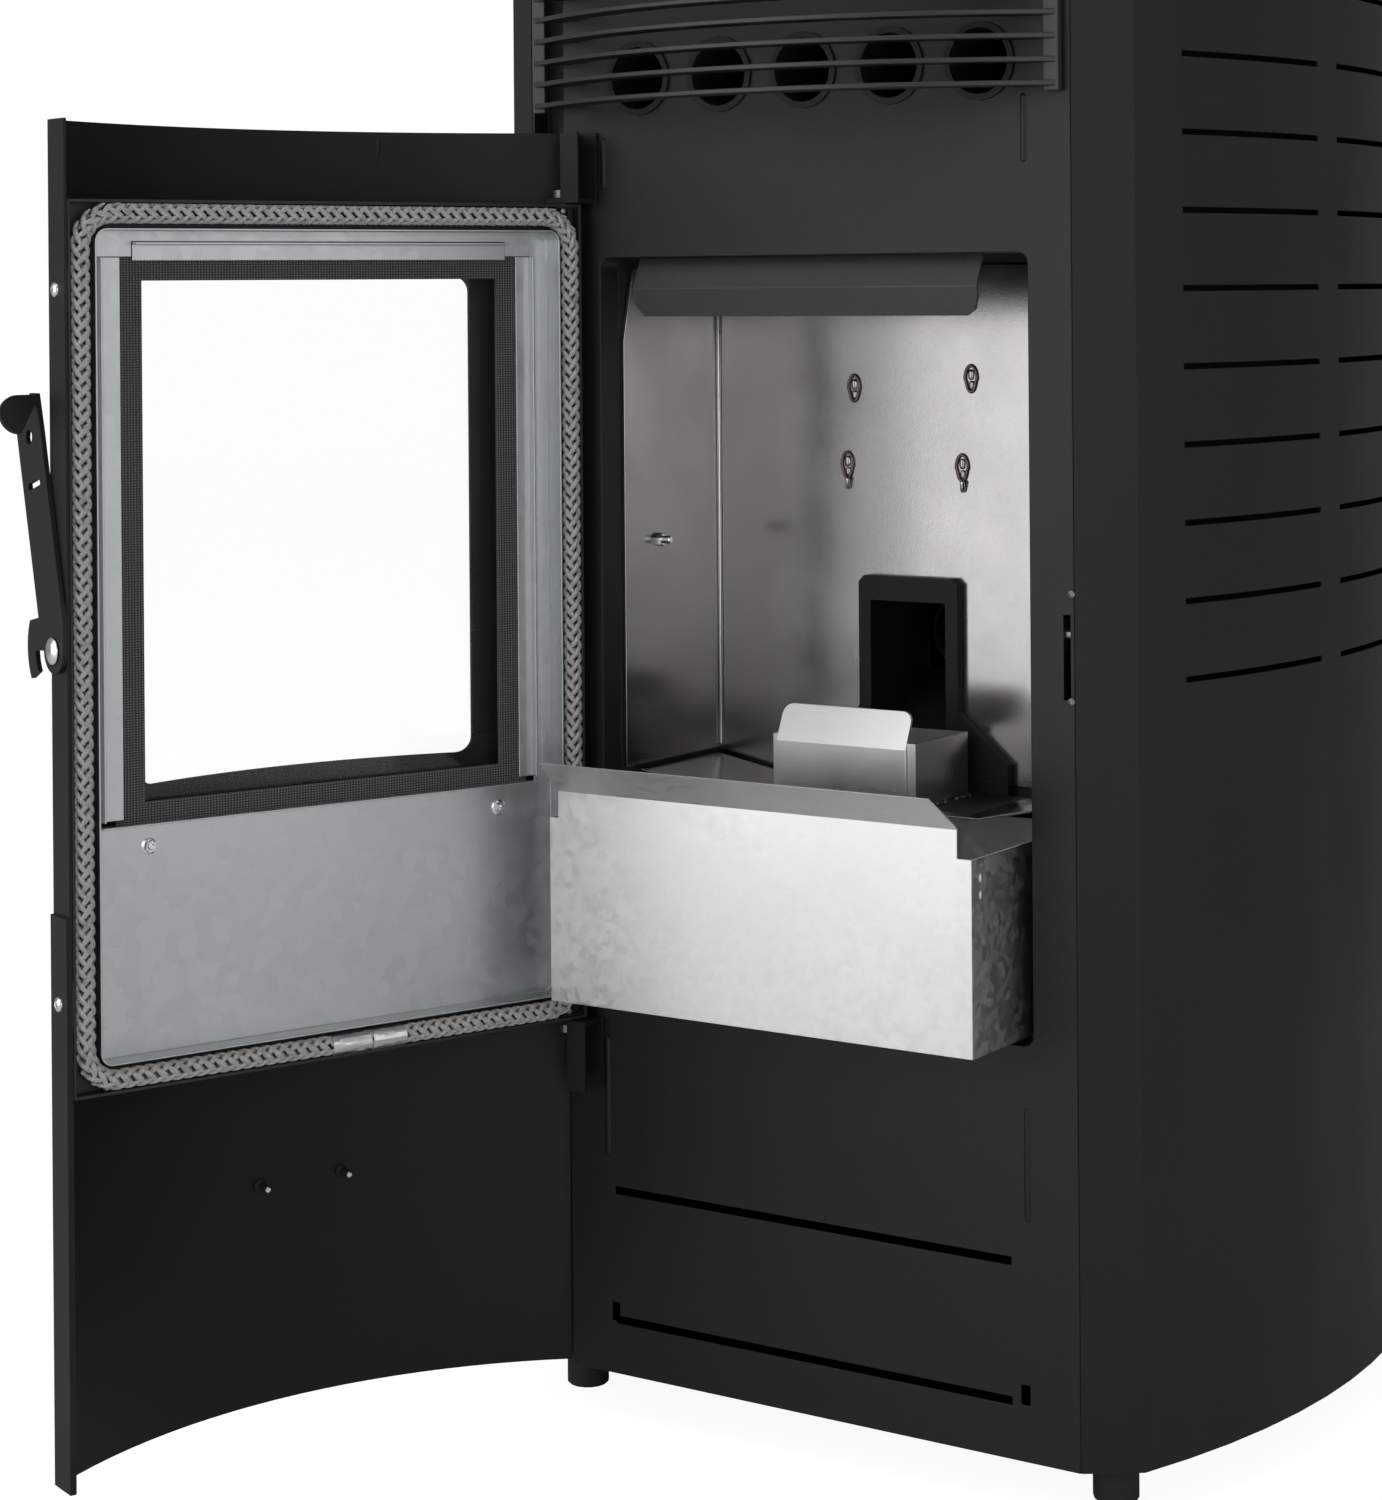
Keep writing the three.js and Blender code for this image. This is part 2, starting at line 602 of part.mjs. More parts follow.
// ---- Stainless liners, baffle and floor ----
const FLOOR_EDGE = FLOOR_HIGH + FLOOR_RISE;
const linerTop = MOUTH_TOP - 6;
const linerSide = outline([
  [FLOOR_FRONT - 14, FLOOR_EDGE + 2],
  [BACK_LINER_Y - GAP, FLOOR_EDGE + 2],
  [BACK_LINER_Y - GAP, linerTop],
  [FLOOR_FRONT - 2, linerTop],
  [FLOOR_FRONT - 14, linerTop - 48],
]);
place('firebox_liner_left', sideways(linerSide, [MOUTH_LEFT + GAP, MOUTH_LEFT + GAP + LINER]), STAINLESS());
const linerRightX = [MOUTH_RIGHT - GAP - LINER, MOUTH_RIGHT - GAP];
place('firebox_liner_right', sideways(linerSide, linerRightX), STAINLESS());

const linerX = [MOUTH_LEFT + GAP, MOUTH_RIGHT - GAP];
const backLiner = block(linerX, [BACK_LINER_Y, LINER_BACK], [FLOOR_HIGH + 4.5, linerTop]);
const backLinerHoles = union([chuteHole, igniterHole([0, BODY_DEPTH])]);
place('firebox_liner_back', backLiner.subtract(backLinerHoles), STAINLESS());

const baffleLine = [
  [12, MOUTH_TOP - GAP],
  [3, MOUTH_TOP - 20],
  [8, MOUTH_TOP - 38],
];
const baffleEnds = outline([
  [MOUTH_LEFT + 23, MOUTH_TOP],
  [MOUTH_LEFT + 23, MOUTH_TOP - 30],
  [MOUTH_LEFT + 29, MOUTH_TOP - 38.5],
  [MOUTH_RIGHT - 46, MOUTH_TOP - 38.5],
  [MOUTH_RIGHT - 39, MOUTH_TOP - 34],
  [MOUTH_RIGHT - 36, MOUTH_TOP - 26],
  [MOUTH_RIGHT - 36, MOUTH_TOP],
]);
const baffle = sideways(folded(baffleLine, -SHEET), MOUTH_X).intersect(endways(baffleEnds, [0, JAMB_DEEP]));
place('flame_baffle', baffle, BLACK_STEEL());

const burnerX = [BURNER_LEFT, BURNER_RIGHT];
const burnerY = [BURNER_FRONT, BACK_LINER_Y - 6];
const floorLine = [
  [MOUTH_RIGHT - GAP, FLOOR_EDGE],
  [BURNER_RIGHT + 12, FLOOR_HIGH],
  [BURNER_LEFT - 12, FLOOR_HIGH],
  [MOUTH_LEFT + GAP, FLOOR_EDGE],
];
const floorSheet = endways(folded(floorLine, -1.5), [FLOOR_FRONT, BACK_LINER_Y - 7 - GAP]);
const burnerHole = block(inBy(burnerX, -GAP), [burnerY[0] - GAP, BODY_DEPTH], [0, FLOOR_EDGE]);
const floorSpace = block(inBy(MOUTH_X, GAP), [0, BODY_DEPTH], BODY_Z);
place('firebox_floor', floorSheet.intersect(floorSpace).subtract(burnerHole), STAINLESS());

// ---- Burner plate, burner pot and igniter ----
const burnerZ = [FLOOR_HIGH - GAP - BURNER_THICK, FLOOR_HIGH - GAP];

const potX = [POT_LEFT, POT_RIGHT];
const potY = [POT_FRONT, POT_BACK];
const POT_LOW = FLOOR_HIGH;
const POT_TOP = POT_LOW + POT_HIGH;
const potHollow = block(inBy(potX, SHEET), inBy(potY, SHEET), [POT_LOW + SHEET, POT_TOP + 1]);
const potHoles = [];
for (let column = 0; column < 5; column += 1) {
  for (let row = 0; row < 3; row += 1) {
    const x = (POT_LEFT + POT_RIGHT) / 2 + (column - 2) * 18;
    const y = (POT_FRONT + POT_BACK) / 2 + (row - 1) * 18;
    potHoles.push(turned('z', [x, y, 0], bar(3, POT_LOW - 1, POT_LOW + SHEET + 1), 8));
  }
}
const deflectorLine = [
  [POT_FRONT - 2.4, POT_LOW + 9.5],
  [POT_FRONT - 2.4, POT_LOW + 36],
  [POT_FRONT + 8.6, POT_LOW + 60],
];
const deflectorEnds = rectangle([POT_LEFT + 4, POT_RIGHT - 6], [POT_LOW - 30, POT_LOW + 59], 7);
const deflectorPlan = endways(deflectorEnds, [0, POT_BACK], 3);
const deflector = sideways(folded(deflectorLine, SHEET), potX).intersect(deflectorPlan);
const ribX = [POT_LEFT + 20, POT_RIGHT - 20];
const deflectorRib = block(ribX, [POT_FRONT - 1, POT_FRONT + 1], [POT_LOW + 12, POT_LOW + 30]);
const burnerPot = block(potX, potY, [POT_LOW, POT_TOP])
  .subtract(potHollow)
  .add(deflectorRib)
  .add(deflector)
  .subtract(union(potHoles))
  .subtract(igniterHole([POT_BACK - SHEET - 1, POT_BACK + 1]));
place('burner_pot', burnerPot, STAINLESS());

const igniterBack = ASH_BACK + 30;
const igniterBody = turned('y', [igniterX, 0, igniterZ], bar(5, POT_BACK + GAP, igniterBack), 12);
place('igniter', igniterBody, BRIGHT());

// ---- Pellet chute: a frame on the back liner, the burner plate at its foot and the tunnel behind ----
const frameX = [CHUTE_LEFT - CHUTE_FRAME, CHUTE_RIGHT + CHUTE_FRAME];
const chuteFoot = 36;
const chuteFront = outline([
  [frameX[0] + 4, CHUTE_TOP + 16],
  [frameX[0], CHUTE_TOP + 12],
  [frameX[0], CHUTE_LOW + 25],
  [frameX[0] - chuteFoot, CHUTE_LOW - 7],
  [frameX[0] - chuteFoot, burnerZ[0]],
  [frameX[1] + chuteFoot, burnerZ[0]],
  [frameX[1] + chuteFoot, CHUTE_LOW - 7],
  [frameX[1], CHUTE_LOW + 25],
  [frameX[1], CHUTE_TOP + 12],
  [frameX[1] - 4, CHUTE_TOP + 16],
]);
const chuteX = [CHUTE_LEFT, CHUTE_RIGHT];
const chuteY = [BACK_LINER_Y - 7, BACK_LINER_Y - GAP];
const tunnelBack = augerZ - AUGER_RADIUS;
const tunnelSide = (grow, from) => outline([
  [from, CHUTE_LOW - grow],
  [BACK_LINER_Y + 6, CHUTE_LOW - grow],
  [chuteBack + (from - chuteY[0]), tunnelBack - grow],
  [chuteBack + (from - chuteY[0]), CHUTE_TOP + grow],
  [from, CHUTE_TOP + grow],
]);
const tunnelHollow = sideways(outline([
  [chuteY[0] - 1, CHUTE_LOW],
  [BACK_LINER_Y + 6, CHUTE_LOW],
  [chuteBack + 1, tunnelBack + THIN],
  [chuteBack + 1, CHUTE_TOP],
  [chuteY[0] - 1, CHUTE_TOP],
]), chuteX);
const chute = endways(chuteFront, chuteY)
  .add(block(burnerX, burnerY, burnerZ))
  .add(sideways(tunnelSide(THIN, chuteY[0]), inBy(chuteX, -THIN)))
  .subtract(tunnelHollow)
  .subtract(igniterHole([0, BODY_DEPTH]));
place('chute_frame', chute, BLACK_STEEL());

// ---- Ash drawer, pulled out ----
const drawerX = [DRAWER_LEFT, DRAWER_RIGHT];
const drawerY = [DRAWER_FRONT, DRAWER_FRONT + DRAWER_DEEP];
const drawerZ = [DRAWER_LOW, DRAWER_LOW + DRAWER_HIGH];
const creaseZ = DRAWER_LOW + DRAWER_CREASE;
const drawerBox = block(drawerX, drawerY, drawerZ);
const drawerHollow = block(inBy(drawerX, THIN), inBy(drawerY, THIN), [DRAWER_LOW + THIN, drawerZ[1] + 1]);
const lipLine = [
  [DRAWER_FRONT, DRAWER_LOW + 1],
  [DRAWER_FRONT, creaseZ],
  [DRAWER_FRONT - DRAWER_LEAN, creaseZ + DRAWER_LIP],
];
const lipEnds = outline([
  [DRAWER_LEFT, DRAWER_LOW],
  [DRAWER_RIGHT, DRAWER_LOW],
  [DRAWER_RIGHT, drawerZ[1]],
  [DRAWER_RIGHT - 9.5, drawerZ[1]],
  [DRAWER_RIGHT - 9.5, creaseZ + 2],
  [DRAWER_RIGHT - 14, creaseZ + DRAWER_LIP],
  [DRAWER_LEFT + 11, creaseZ + DRAWER_LIP],
  [DRAWER_LEFT + 6.5, creaseZ + 2],
  [DRAWER_LEFT + 6.5, drawerZ[1]],
  [DRAWER_LEFT, drawerZ[1]],
]);
const lip = sideways(folded(lipLine, THIN), drawerX).intersect(endways(lipEnds, [-BODY_DEPTH, drawerY[1]]));
place('ash_drawer', drawerBox.subtract(drawerHollow).add(lip), ZINC());

// ---- Door: everything in it is placed as if the door were closed, then swung open on its pins ----
const swing = new THREE.Group();
swing.position.set(HINGE_X, HINGE_Y, 0);
swing.rotation.z = -radians(DOOR_OPEN);
stove.add(swing);
const door = new THREE.Group();
door.position.set(-HINGE_X, -HINGE_Y, 0);
swing.add(door);

const doorZ = [DOOR_LOW, DOOR_TOP];
const doorEdgeY = [DOOR_EDGE_Y, DOOR_EDGE_Y + DOOR_EDGE_DEEP];
const doorArc = bowed([-DOOR_RIGHT, DOOR_EDGE_Y], [DOOR_RIGHT, DOOR_EDGE_Y], DOOR_BOW, 24);
const doorLine = [...doorArc, [DOOR_RIGHT, doorEdgeY[1]]];
const windowShape = rectangle([-WINDOW_HALF, WINDOW_HALF], [WINDOW_LOW, WINDOW_TOP], 10);
const leverReach = 153;
const stripZ = [DOOR_LOW, LEVER_Z - leverReach - 2];
const edgeStrip = block([DOOR_RIGHT - 0.5, DOOR_RIGHT + SHEET], doorEdgeY, stripZ);
const pivotHole = turned('x', [0, LEVER_Y, LEVER_Z], bar(2.5 + GAP, DOOR_RIGHT - 10, DOOR_RIGHT + 10), 12);
const doorShell = upright(folded(doorLine, -SHEET), doorZ)
  .intersect(block([DOOR_LEFT, DOOR_RIGHT + 1], [-BODY_DEPTH, 0], doorZ))
  .subtract(endways(windowShape, [-BODY_DEPTH, 0], 4))
  .add(edgeStrip)
  .subtract(pivotHole);
place('door_shell', doorShell, PAINT(), door);

// The inner face of the bowed shell at a given x.
const doorRadius = (DOOR_RIGHT ** 2 + DOOR_BOW ** 2) / (2 * DOOR_BOW);
const shellInside = (x) => {
  return DOOR_EDGE_Y - DOOR_BOW + doorRadius - Math.sqrt((doorRadius - SHEET) ** 2 - x ** 2);
};

// A standing ring between two insets from the inner frame's outside.
const frameX0 = [FRAME_LEFT, FRAME_RIGHT];
const frameZ0 = [FRAME_LOW, FRAME_TOP];
const frameBlock = (inset, y) => block(inBy(frameX0, inset), y, inBy(frameZ0, inset));
const frameRing = (from, to, y) => frameBlock(from, y).subtract(frameBlock(to, [y[0] - 1, y[1] + 1]));
const glassX = [GLASS_LEFT, GLASS_RIGHT];
const glassZ = [GLASS_LOW, GLASS_TOP];
const gasketThick = 3.4;
const gasketY = [TRAY_FLOOR - GAP - gasketThick, TRAY_FLOOR - GAP];
const glassY = [gasketY[0] - GAP - GLASS_THICK, gasketY[0] - GAP];
const frameBackY = [glassY[0] - GAP - SHEET, glassY[0] - GAP];
const innerWall = TRAY_INSET - GAP - SHEET;
const lug = (z) => block([HINGE_X - 9, HINGE_X + 9], [HINGE_Y - 6, HINGE_Y + 6], z);
const pinHole = (radius, z) => turned('z', [HINGE_X, HINGE_Y, 0], bar(radius, ...z), 16);
const tabY = [shellInside(FRAME_LEFT) + GAP, ROPE_SEAT - 1];
const tabHeights = [FRAME_LOW + 60, FRAME_TOP - 110];
const hingeTabs = tabHeights.map((z) => block([FRAME_LEFT, FRAME_LEFT + 3], tabY, [z, z + 50]));
const padX = [FRAME_RIGHT - 1, DOOR_RIGHT - SHEET - GAP];
const freePads = [FRAME_LOW + 43, FRAME_TOP - 66].map((z) => {
  return block(padX, [ROPE_SEAT, FRAME_LIP], [z, z + 26]);
});
const sightHole = block(inBy(glassX, 12), [-BODY_DEPTH, 0], inBy(glassZ, 12));
const innerFrame = frameRing(0, SHEET, [ROPE_SEAT - SHEET, FRAME_LIP])
  .add(frameRing(0, innerWall + SHEET, [ROPE_SEAT - SHEET, ROPE_SEAT]))
  .add(frameRing(innerWall, innerWall + SHEET, [frameBackY[0], ROPE_SEAT]))
  .add(frameBlock(innerWall, frameBackY).subtract(sightHole))
  .add(lug([FRAME_TOP - 3, FRAME_TOP]))
  .add(lug([FRAME_LOW, FRAME_LOW + 3]))
  .add(union([...hingeTabs, ...freePads]))
  .subtract(pinHole(HINGE_PIN + RUNNING, [0, BODY_TOP]));
place('door_inner_frame', innerFrame, BLACK_STEEL(), door);

const trayX = inBy(frameX0, TRAY_INSET);
const trayZ = inBy(frameZ0, TRAY_INSET);
const hingeRetainerX = [GLASS_LEFT + 6 - RETAINER_WIDE, GLASS_LEFT + 6];
const freeRetainerX = [GLASS_RIGHT - 4, GLASS_RIGHT - 4 + FREE_RETAINER_WIDE];
const topRetainerX = [hingeRetainerX[1] + 8, freeRetainerX[0] - 8];
const topRetainerZ = [GLASS_TOP - 7, GLASS_TOP - 7 + RETAINER_WIDE];
const retainerZ = [PANEL_EDGE + 3, GLASS_TOP - 5];
const trayEdgeX = [hingeRetainerX[0] - GAP, freeRetainerX[1] + GAP];
const trayHole = union([
  block(trayEdgeX, [-BODY_DEPTH, 0], [PANEL_EDGE, retainerZ[1] + GAP]),
  block(inBy(topRetainerX, -GAP), [-BODY_DEPTH, 0], inBy(topRetainerZ, -GAP)),
]);
const trayEdge = block(trayEdgeX, [TRAY_FLOOR, TRAY_FLOOR + 6], [PANEL_EDGE - THIN, PANEL_EDGE]);
const trayInside = [TRAY_FLOOR + THIN, TRAY_LIP + 1];
const tray = endways(rectangle(trayX, trayZ, TRAY_ROUND), [TRAY_FLOOR, TRAY_LIP], 3)
  .subtract(endways(rectangle(inBy(trayX, THIN), inBy(trayZ, THIN), TRAY_ROUND - THIN), trayInside, 3))
  .subtract(trayHole)
  .add(trayEdge);
place('door_tray', tray, ZINC(), door);

place('door_glass', block(glassX, glassY, glassZ), glassFinish(), door);
const gasketHole = block(inBy(glassX, GASKET_WIDE), [-BODY_DEPTH, 0], inBy(glassZ, GASKET_WIDE));
place('glass_gasket', block(glassX, gasketY, glassZ).subtract(gasketHole), ROPE(), door);

// Each retainer is an angle that presses one edge of the gasket.
const retainerY = [TRAY_FLOOR, TRAY_FLOOR + 1.5];
const retainerLip = [TRAY_FLOOR, TRAY_FLOOR + 7];
const freeRetainer = block(freeRetainerX, retainerY, retainerZ);
const freeAngle = block([freeRetainerX[1] - 1.5, freeRetainerX[1]], retainerLip, retainerZ);
place('glass_retainer_left', freeRetainer.add(freeAngle), ZINC(), door);
const hingeRetainer = block(hingeRetainerX, retainerY, retainerZ);
const hingeAngle = block([hingeRetainerX[0], hingeRetainerX[0] + 1.5], retainerLip, retainerZ);
place('glass_retainer_right', hingeRetainer.add(hingeAngle), ZINC(), door);
const topRetainer = block(topRetainerX, retainerY, topRetainerZ);
const topAngle = block(topRetainerX, retainerLip, [topRetainerZ[1] - 1.5, topRetainerZ[1]]);
place('glass_retainer_top', topRetainer.add(topAngle), ZINC(), door);

// The rope seal is one closed loop with round corners, lying in the frame's channel.
const ropeY = ROPE_SEAT + GAP + ROPE_RADIUS;
const ropeCorners = [
  [FRAME_RIGHT - ROPE_INSET - ROPE_CORNER, FRAME_TOP - ROPE_INSET - ROPE_CORNER],
  [FRAME_LEFT + ROPE_INSET + ROPE_CORNER, FRAME_TOP - ROPE_INSET - ROPE_CORNER],
  [FRAME_LEFT + ROPE_INSET + ROPE_CORNER, FRAME_LOW + ROPE_INSET + ROPE_CORNER],
  [FRAME_RIGHT - ROPE_INSET - ROPE_CORNER, FRAME_LOW + ROPE_INSET + ROPE_CORNER],
];
const cornerSteps = 5;
const ropeSides = 10;
const ropeRings = ropeCorners.flatMap(([x, z], corner) => {
  return Array.from({ length: cornerSteps + 1 }, (_, i) => {
    const turn = (corner + i / cornerSteps) * (Math.PI / 2);
    return Array.from({ length: ropeSides }, (_, j) => {
      const around = (j / ropeSides) * 2 * Math.PI;
      const out = ROPE_CORNER + ROPE_RADIUS * Math.cos(around);
      return [x + out * Math.cos(turn), ropeY + ROPE_RADIUS * Math.sin(around), z + out * Math.sin(turn)];
    });
  });
});
place('door_rope_seal', loft(ropeRings, true), ROPE(), door);

// ---- Hinge pins and brackets, the same above and below the door's frame ----
function hinge(name, edge, up) {
  const reach = (from, to) => (up > 0 ? [edge + from, edge + to] : [edge - to, edge - from]);
  const earZ = reach(0.6, 3.6);
  const bracket = union([
    block([HINGE_X - 8, HINGE_X + 17], [HINGE_Y - 6, -GAP], earZ),
    block([HINGE_X + 3, HINGE_X + 3 + SHEET], [HINGE_Y - 6, -GAP], reach(0.6, 46)),
    block([HINGE_X + 3, HINGE_X + 17], [HINGE_Y - 6, HINGE_Y - 6 + SHEET], reach(0.6, 46)),
    block([HINGE_X + 3, HINGE_X + 19], [-GAP - SHEET, -GAP], reach(0.6, 46)),
  ]);
  const headHigh = 5.5;
  const headRoom = turned('z', [HINGE_X, HINGE_Y, 0], bar(6 + GAP, ...reach(3.6, 3.6 + headHigh + 1)), 16);
  const bore = pinHole(HINGE_PIN + GAP, reach(0, 4));
  place(`hinge_bracket_${name}`, bracket.subtract(bore).subtract(headRoom), PAINT());
  const shaft = turned('z', [HINGE_X, HINGE_Y, 0], bar(HINGE_PIN, ...reach(-6, 4)), 16);
  const head = turned('z', [HINGE_X, HINGE_Y, 0], bar(6, ...reach(3.6 + GAP, 3.6 + headHigh)), 16);
  place(`hinge_pin_${name}`, shaft.add(head), BRIGHT());
}
hinge('upper', FRAME_TOP, 1);
hinge('lower', FRAME_LOW, -1);

// ---- Latch lever on the door's free edge, its screw and the strike behind the front plate ----
const leverOutline = new THREE.Shape();
leverOutline.moveTo(LEVER_BOSS, 0);
leverOutline.lineTo(LEVER_BOSS, 17);
leverOutline.lineTo(-15.8, 128);
leverOutline.lineTo(-22.6, 150);
leverOutline.lineTo(-31, 150);
leverOutline.lineTo(-36, 139);
leverOutline.lineTo(-49, 136);
leverOutline.lineTo(-50.4, 127);
leverOutline.lineTo(-20.8, 18);
leverOutline.absarc(0, 0, HOOK_OUTER, radians(155), radians(211));
leverOutline.absarc(0, 0, HOOK_INNER, radians(213), radians(184), true);
leverOutline.absarc(0, 0, LEVER_BOSS, radians(184), radians(360));
leverOutline.holes.push(new THREE.Path().absarc(-32.4, 124, 4.5, 0, 2 * Math.PI, true));
leverOutline.holes.push(new THREE.Path([[-33, 92], [-17, 96.5], [-18, 100.5], [-34, 96]].map(([y, z]) => {
  return new THREE.Vector2(y, z);
})));
const leverPlate = sideways(leverOutline, leverX, 6);
const tabRound = 11.7;
const tabShape = new THREE.Shape();
tabShape.moveTo(0, 0);
tabShape.absarc(LEVER_TAB - tabRound, tabRound, tabRound, -Math.PI / 2, Math.PI / 2);
tabShape.lineTo(0, 2 * tabRound);
const tabGeometry = extrude(tabShape, LEVER_THICK, 8);
tabGeometry.rotateX(Math.PI / 2 + radians(17));
tabGeometry.translate(leverX[0], -15.8, 127);
const leverHole = turned('x', [0, 0, 0], bar(2.5 + RUNNING, 0, DOOR_RIGHT + 10), 12);
const lever = leverPlate.add(toSolid(tabGeometry)).subtract(leverHole);
place('latch_lever', lever, PAINT(), door).position.set(0, LEVER_Y, LEVER_Z);

const screwProfile = [
  [0, DOOR_RIGHT - SHEET],
  [2.5, DOOR_RIGHT - SHEET],
  [2.5, leverX[1] + GAP],
  [8, leverX[1] + GAP],
  [8, leverX[1] + GAP + 1],
  [5, leverX[1] + GAP + 2.5],
  [0, leverX[1] + GAP + 2.8],
];
place('latch_pivot_screw', turned('x', [0, LEVER_Y, LEVER_Z], screwProfile, 20), BRIGHT(), door);

const catchRadius = (LEVER_BOSS + HOOK_INNER) / 2;
const catchY = LEVER_Y + catchRadius * Math.cos(radians(7));
const catchZ = LEVER_Z + catchRadius * Math.sin(radians(7));
const behindPlate = SHEET + GAP;
const strikeY = [behindPlate, behindPlate + SHEET];
const cheekZ = [catchZ - 9, catchZ + 9];
const strike = union([
  block([leverX[0] - 12, leverX[0] - 1.5], strikeY, [STRIKE_LOW - 8, STRIKE_TOP + 19]),
  block([leverX[0] - 4, leverX[0] - 1.5], [behindPlate, catchY + 7], cheekZ),
  block([leverX[1] + 1.5, CORNER_X - GAP], [behindPlate, catchY + 7], cheekZ),
  turned('x', [0, catchY, catchZ], bar(3, leverX[0] - 4, CORNER_X - GAP), 12),
]);
place('latch_strike', strike, BRIGHT());

// ---- Top cover, hopper lid and control console ----
const coverZ = [COVER_LOW, COVER_TOP];
const lidX = [LID_LEFT, LID_RIGHT];
const lidY = [LID_FRONT, LID_BACK];
const hingeZ = COVER_TOP + 4.6;
const hingeY = LID_BACK + 5;
const barrelX = [-60, 60];
const hingeBlocks = [[barrelX[0] - 15, barrelX[0] - GAP], [barrelX[1] + GAP, barrelX[1] + 15]].map((x) => {
  const bracket = block(x, [hingeY - 3, hingeY + 4], [COVER_TOP - 1, hingeZ + 2.8]);
  const stub = x[0] < 0 ? [x[0] + 1, x[1] + 10] : [x[0] - 10, x[1] - 1];
  return bracket.add(turned('x', [0, hingeY, hingeZ], bar(LID_PIN, ...stub), 10));
});
const hopperMouth = block(inBy(lidX, 8), inBy(lidY, 8), [BODY_TOP - 400, COVER_TOP + 1]);
const cover = bodyPlan(0, coverZ)
  .subtract(bodyPlan(COVER_WALL, [COVER_LOW - 1, COVER_TOP - COVER_WALL]))
  .subtract(hopperMouth)
  .add(union(hingeBlocks));
place('top_cover', cover, PAINT());

const lidZ = [COVER_TOP + GAP, COVER_TOP + GAP + LID_THICK];
const barrelArm = block([barrelX[0] + 4, barrelX[1] - 4], [LID_BACK - 1, hingeY], [lidZ[0] + 1, lidZ[1]]);
const barrel = turned('x', [0, hingeY, hingeZ], bar(4, ...barrelX), 16);
const barrelProfile = bar(LID_PIN + RUNNING, barrelX[0] - 1, barrelX[1] + 1);
const barrelBore = turned('x', [0, hingeY, hingeZ], barrelProfile, 12);
const lidGrip = block([-40, 40], [LID_FRONT - 10, LID_FRONT + 1], [lidZ[0] + 1.5, lidZ[1]]);
const lidPlate = upright(rectangle(lidX, lidY, 8), lidZ, 4);
const lid = union([lidPlate, barrelArm, barrel, lidGrip]).subtract(barrelBore);
place('hopper_lid', lid, PAINT());

const consoleX = [-CONSOLE_WIDE / 2, CONSOLE_WIDE / 2];
const consoleY = [CONSOLE_Y, CONSOLE_Y + CONSOLE_DEEP];
const consoleZ = [COVER_TOP + GAP, COVER_TOP + GAP + CONSOLE_HIGH];
const displayX = [consoleX[0] + 10, consoleX[0] + 62];
const buttonX = [0, 1, 2].map((i) => displayX[1] + 20 + i * BUTTON_PITCH * 0.9);
const buttonY = (consoleY[0] + consoleY[1]) / 2;
const wells = buttonX.map((x) => {
  return turned('z', [x, buttonY, 0], bar(BUTTON_RADIUS + GAP, consoleZ[1] - 7, consoleZ[1] + 1), 20);
});
const displayWell = block(displayX, inBy(consoleY, 16), [consoleZ[1] - 1, consoleZ[1] + 1]);
const consoleBody = upright(rectangle(consoleX, consoleY, 10), consoleZ, 5);
place('control_panel', consoleBody.subtract(union([...wells, displayWell])), PLASTIC());
const buttonZ = [consoleZ[1] - 7 + BUTTON_PROUD, consoleZ[1] + BUTTON_PROUD];
buttonX.forEach((x, i) => {
  const profile = [
    [0, buttonZ[0]],
    [BUTTON_RADIUS, buttonZ[0]],
    [BUTTON_RADIUS, buttonZ[1] - 1],
    [BUTTON_RADIUS - 1, buttonZ[1]],
    [0, buttonZ[1]],
  ];
  place(`button_${i + 1}`, turned('z', [x, buttonY, 0], profile, 20), PLASTIC());
});

// ---- Pellet hopper: a bin that narrows to the auger's inlet ----
const hopperX = inBy(lidX, 8 + GAP);
const hopperY = inBy(lidY, 8 + GAP);
const outletX = [augerX - AUGER_RADIUS + 3, augerX + AUGER_RADIUS - 3];
const outletY = [LID_FRONT + 30, LID_FRONT + 78];
const outletZ = augerZ + AUGER_RADIUS + 8;
const ring = (x, y, z) => [[x[0], y[0], z], [x[1], y[0], z], [x[1], y[1], z], [x[0], y[1], z]];
const hopperSkin = (inset, low, top) => loft([
  ring(inBy(outletX, inset), inBy(outletY, inset), low),
  ring(inBy(hopperX, inset), inBy(hopperY, inset), HOPPER_SHOULDER),
  ring(inBy(hopperX, inset), inBy(hopperY, inset), top),
]);
const hopperTop = COVER_TOP - GAP;
const hopperInside = hopperSkin(HOPPER_WALL, outletZ - 0.01, hopperTop + 1);
const hopper = hopperSkin(0, outletZ, hopperTop).subtract(hopperInside);
place('pellet_hopper', hopper, ZINC());

// ---- Auger: its tube with the inlet box, the screw and the gearmotor ----
const augerY = [chuteBack + GAP, chuteBack + AUGER_LONG];
const augerAxis = [augerX, 0, augerZ];
const inletBox = block(inBy(outletX, -AUGER_WALL), inBy(outletY, -AUGER_WALL), [augerZ, outletZ - GAP]);
const inletBore = block(outletX, outletY, [augerZ, outletZ]);
const augerTube = turned('y', augerAxis, bar(AUGER_RADIUS, ...augerY), 24)
  .add(inletBox)
  .subtract(turned('y', augerAxis, bar(AUGER_RADIUS - AUGER_WALL, augerY[0] - 1, augerY[1] - 3), 24))
  .subtract(inletBore)
  .subtract(turned('y', augerAxis, bar(AUGER_SHAFT + GAP, augerY[1] - 4, augerY[1] + 1), 16));
place('auger_tube', augerTube, BLACK_STEEL());

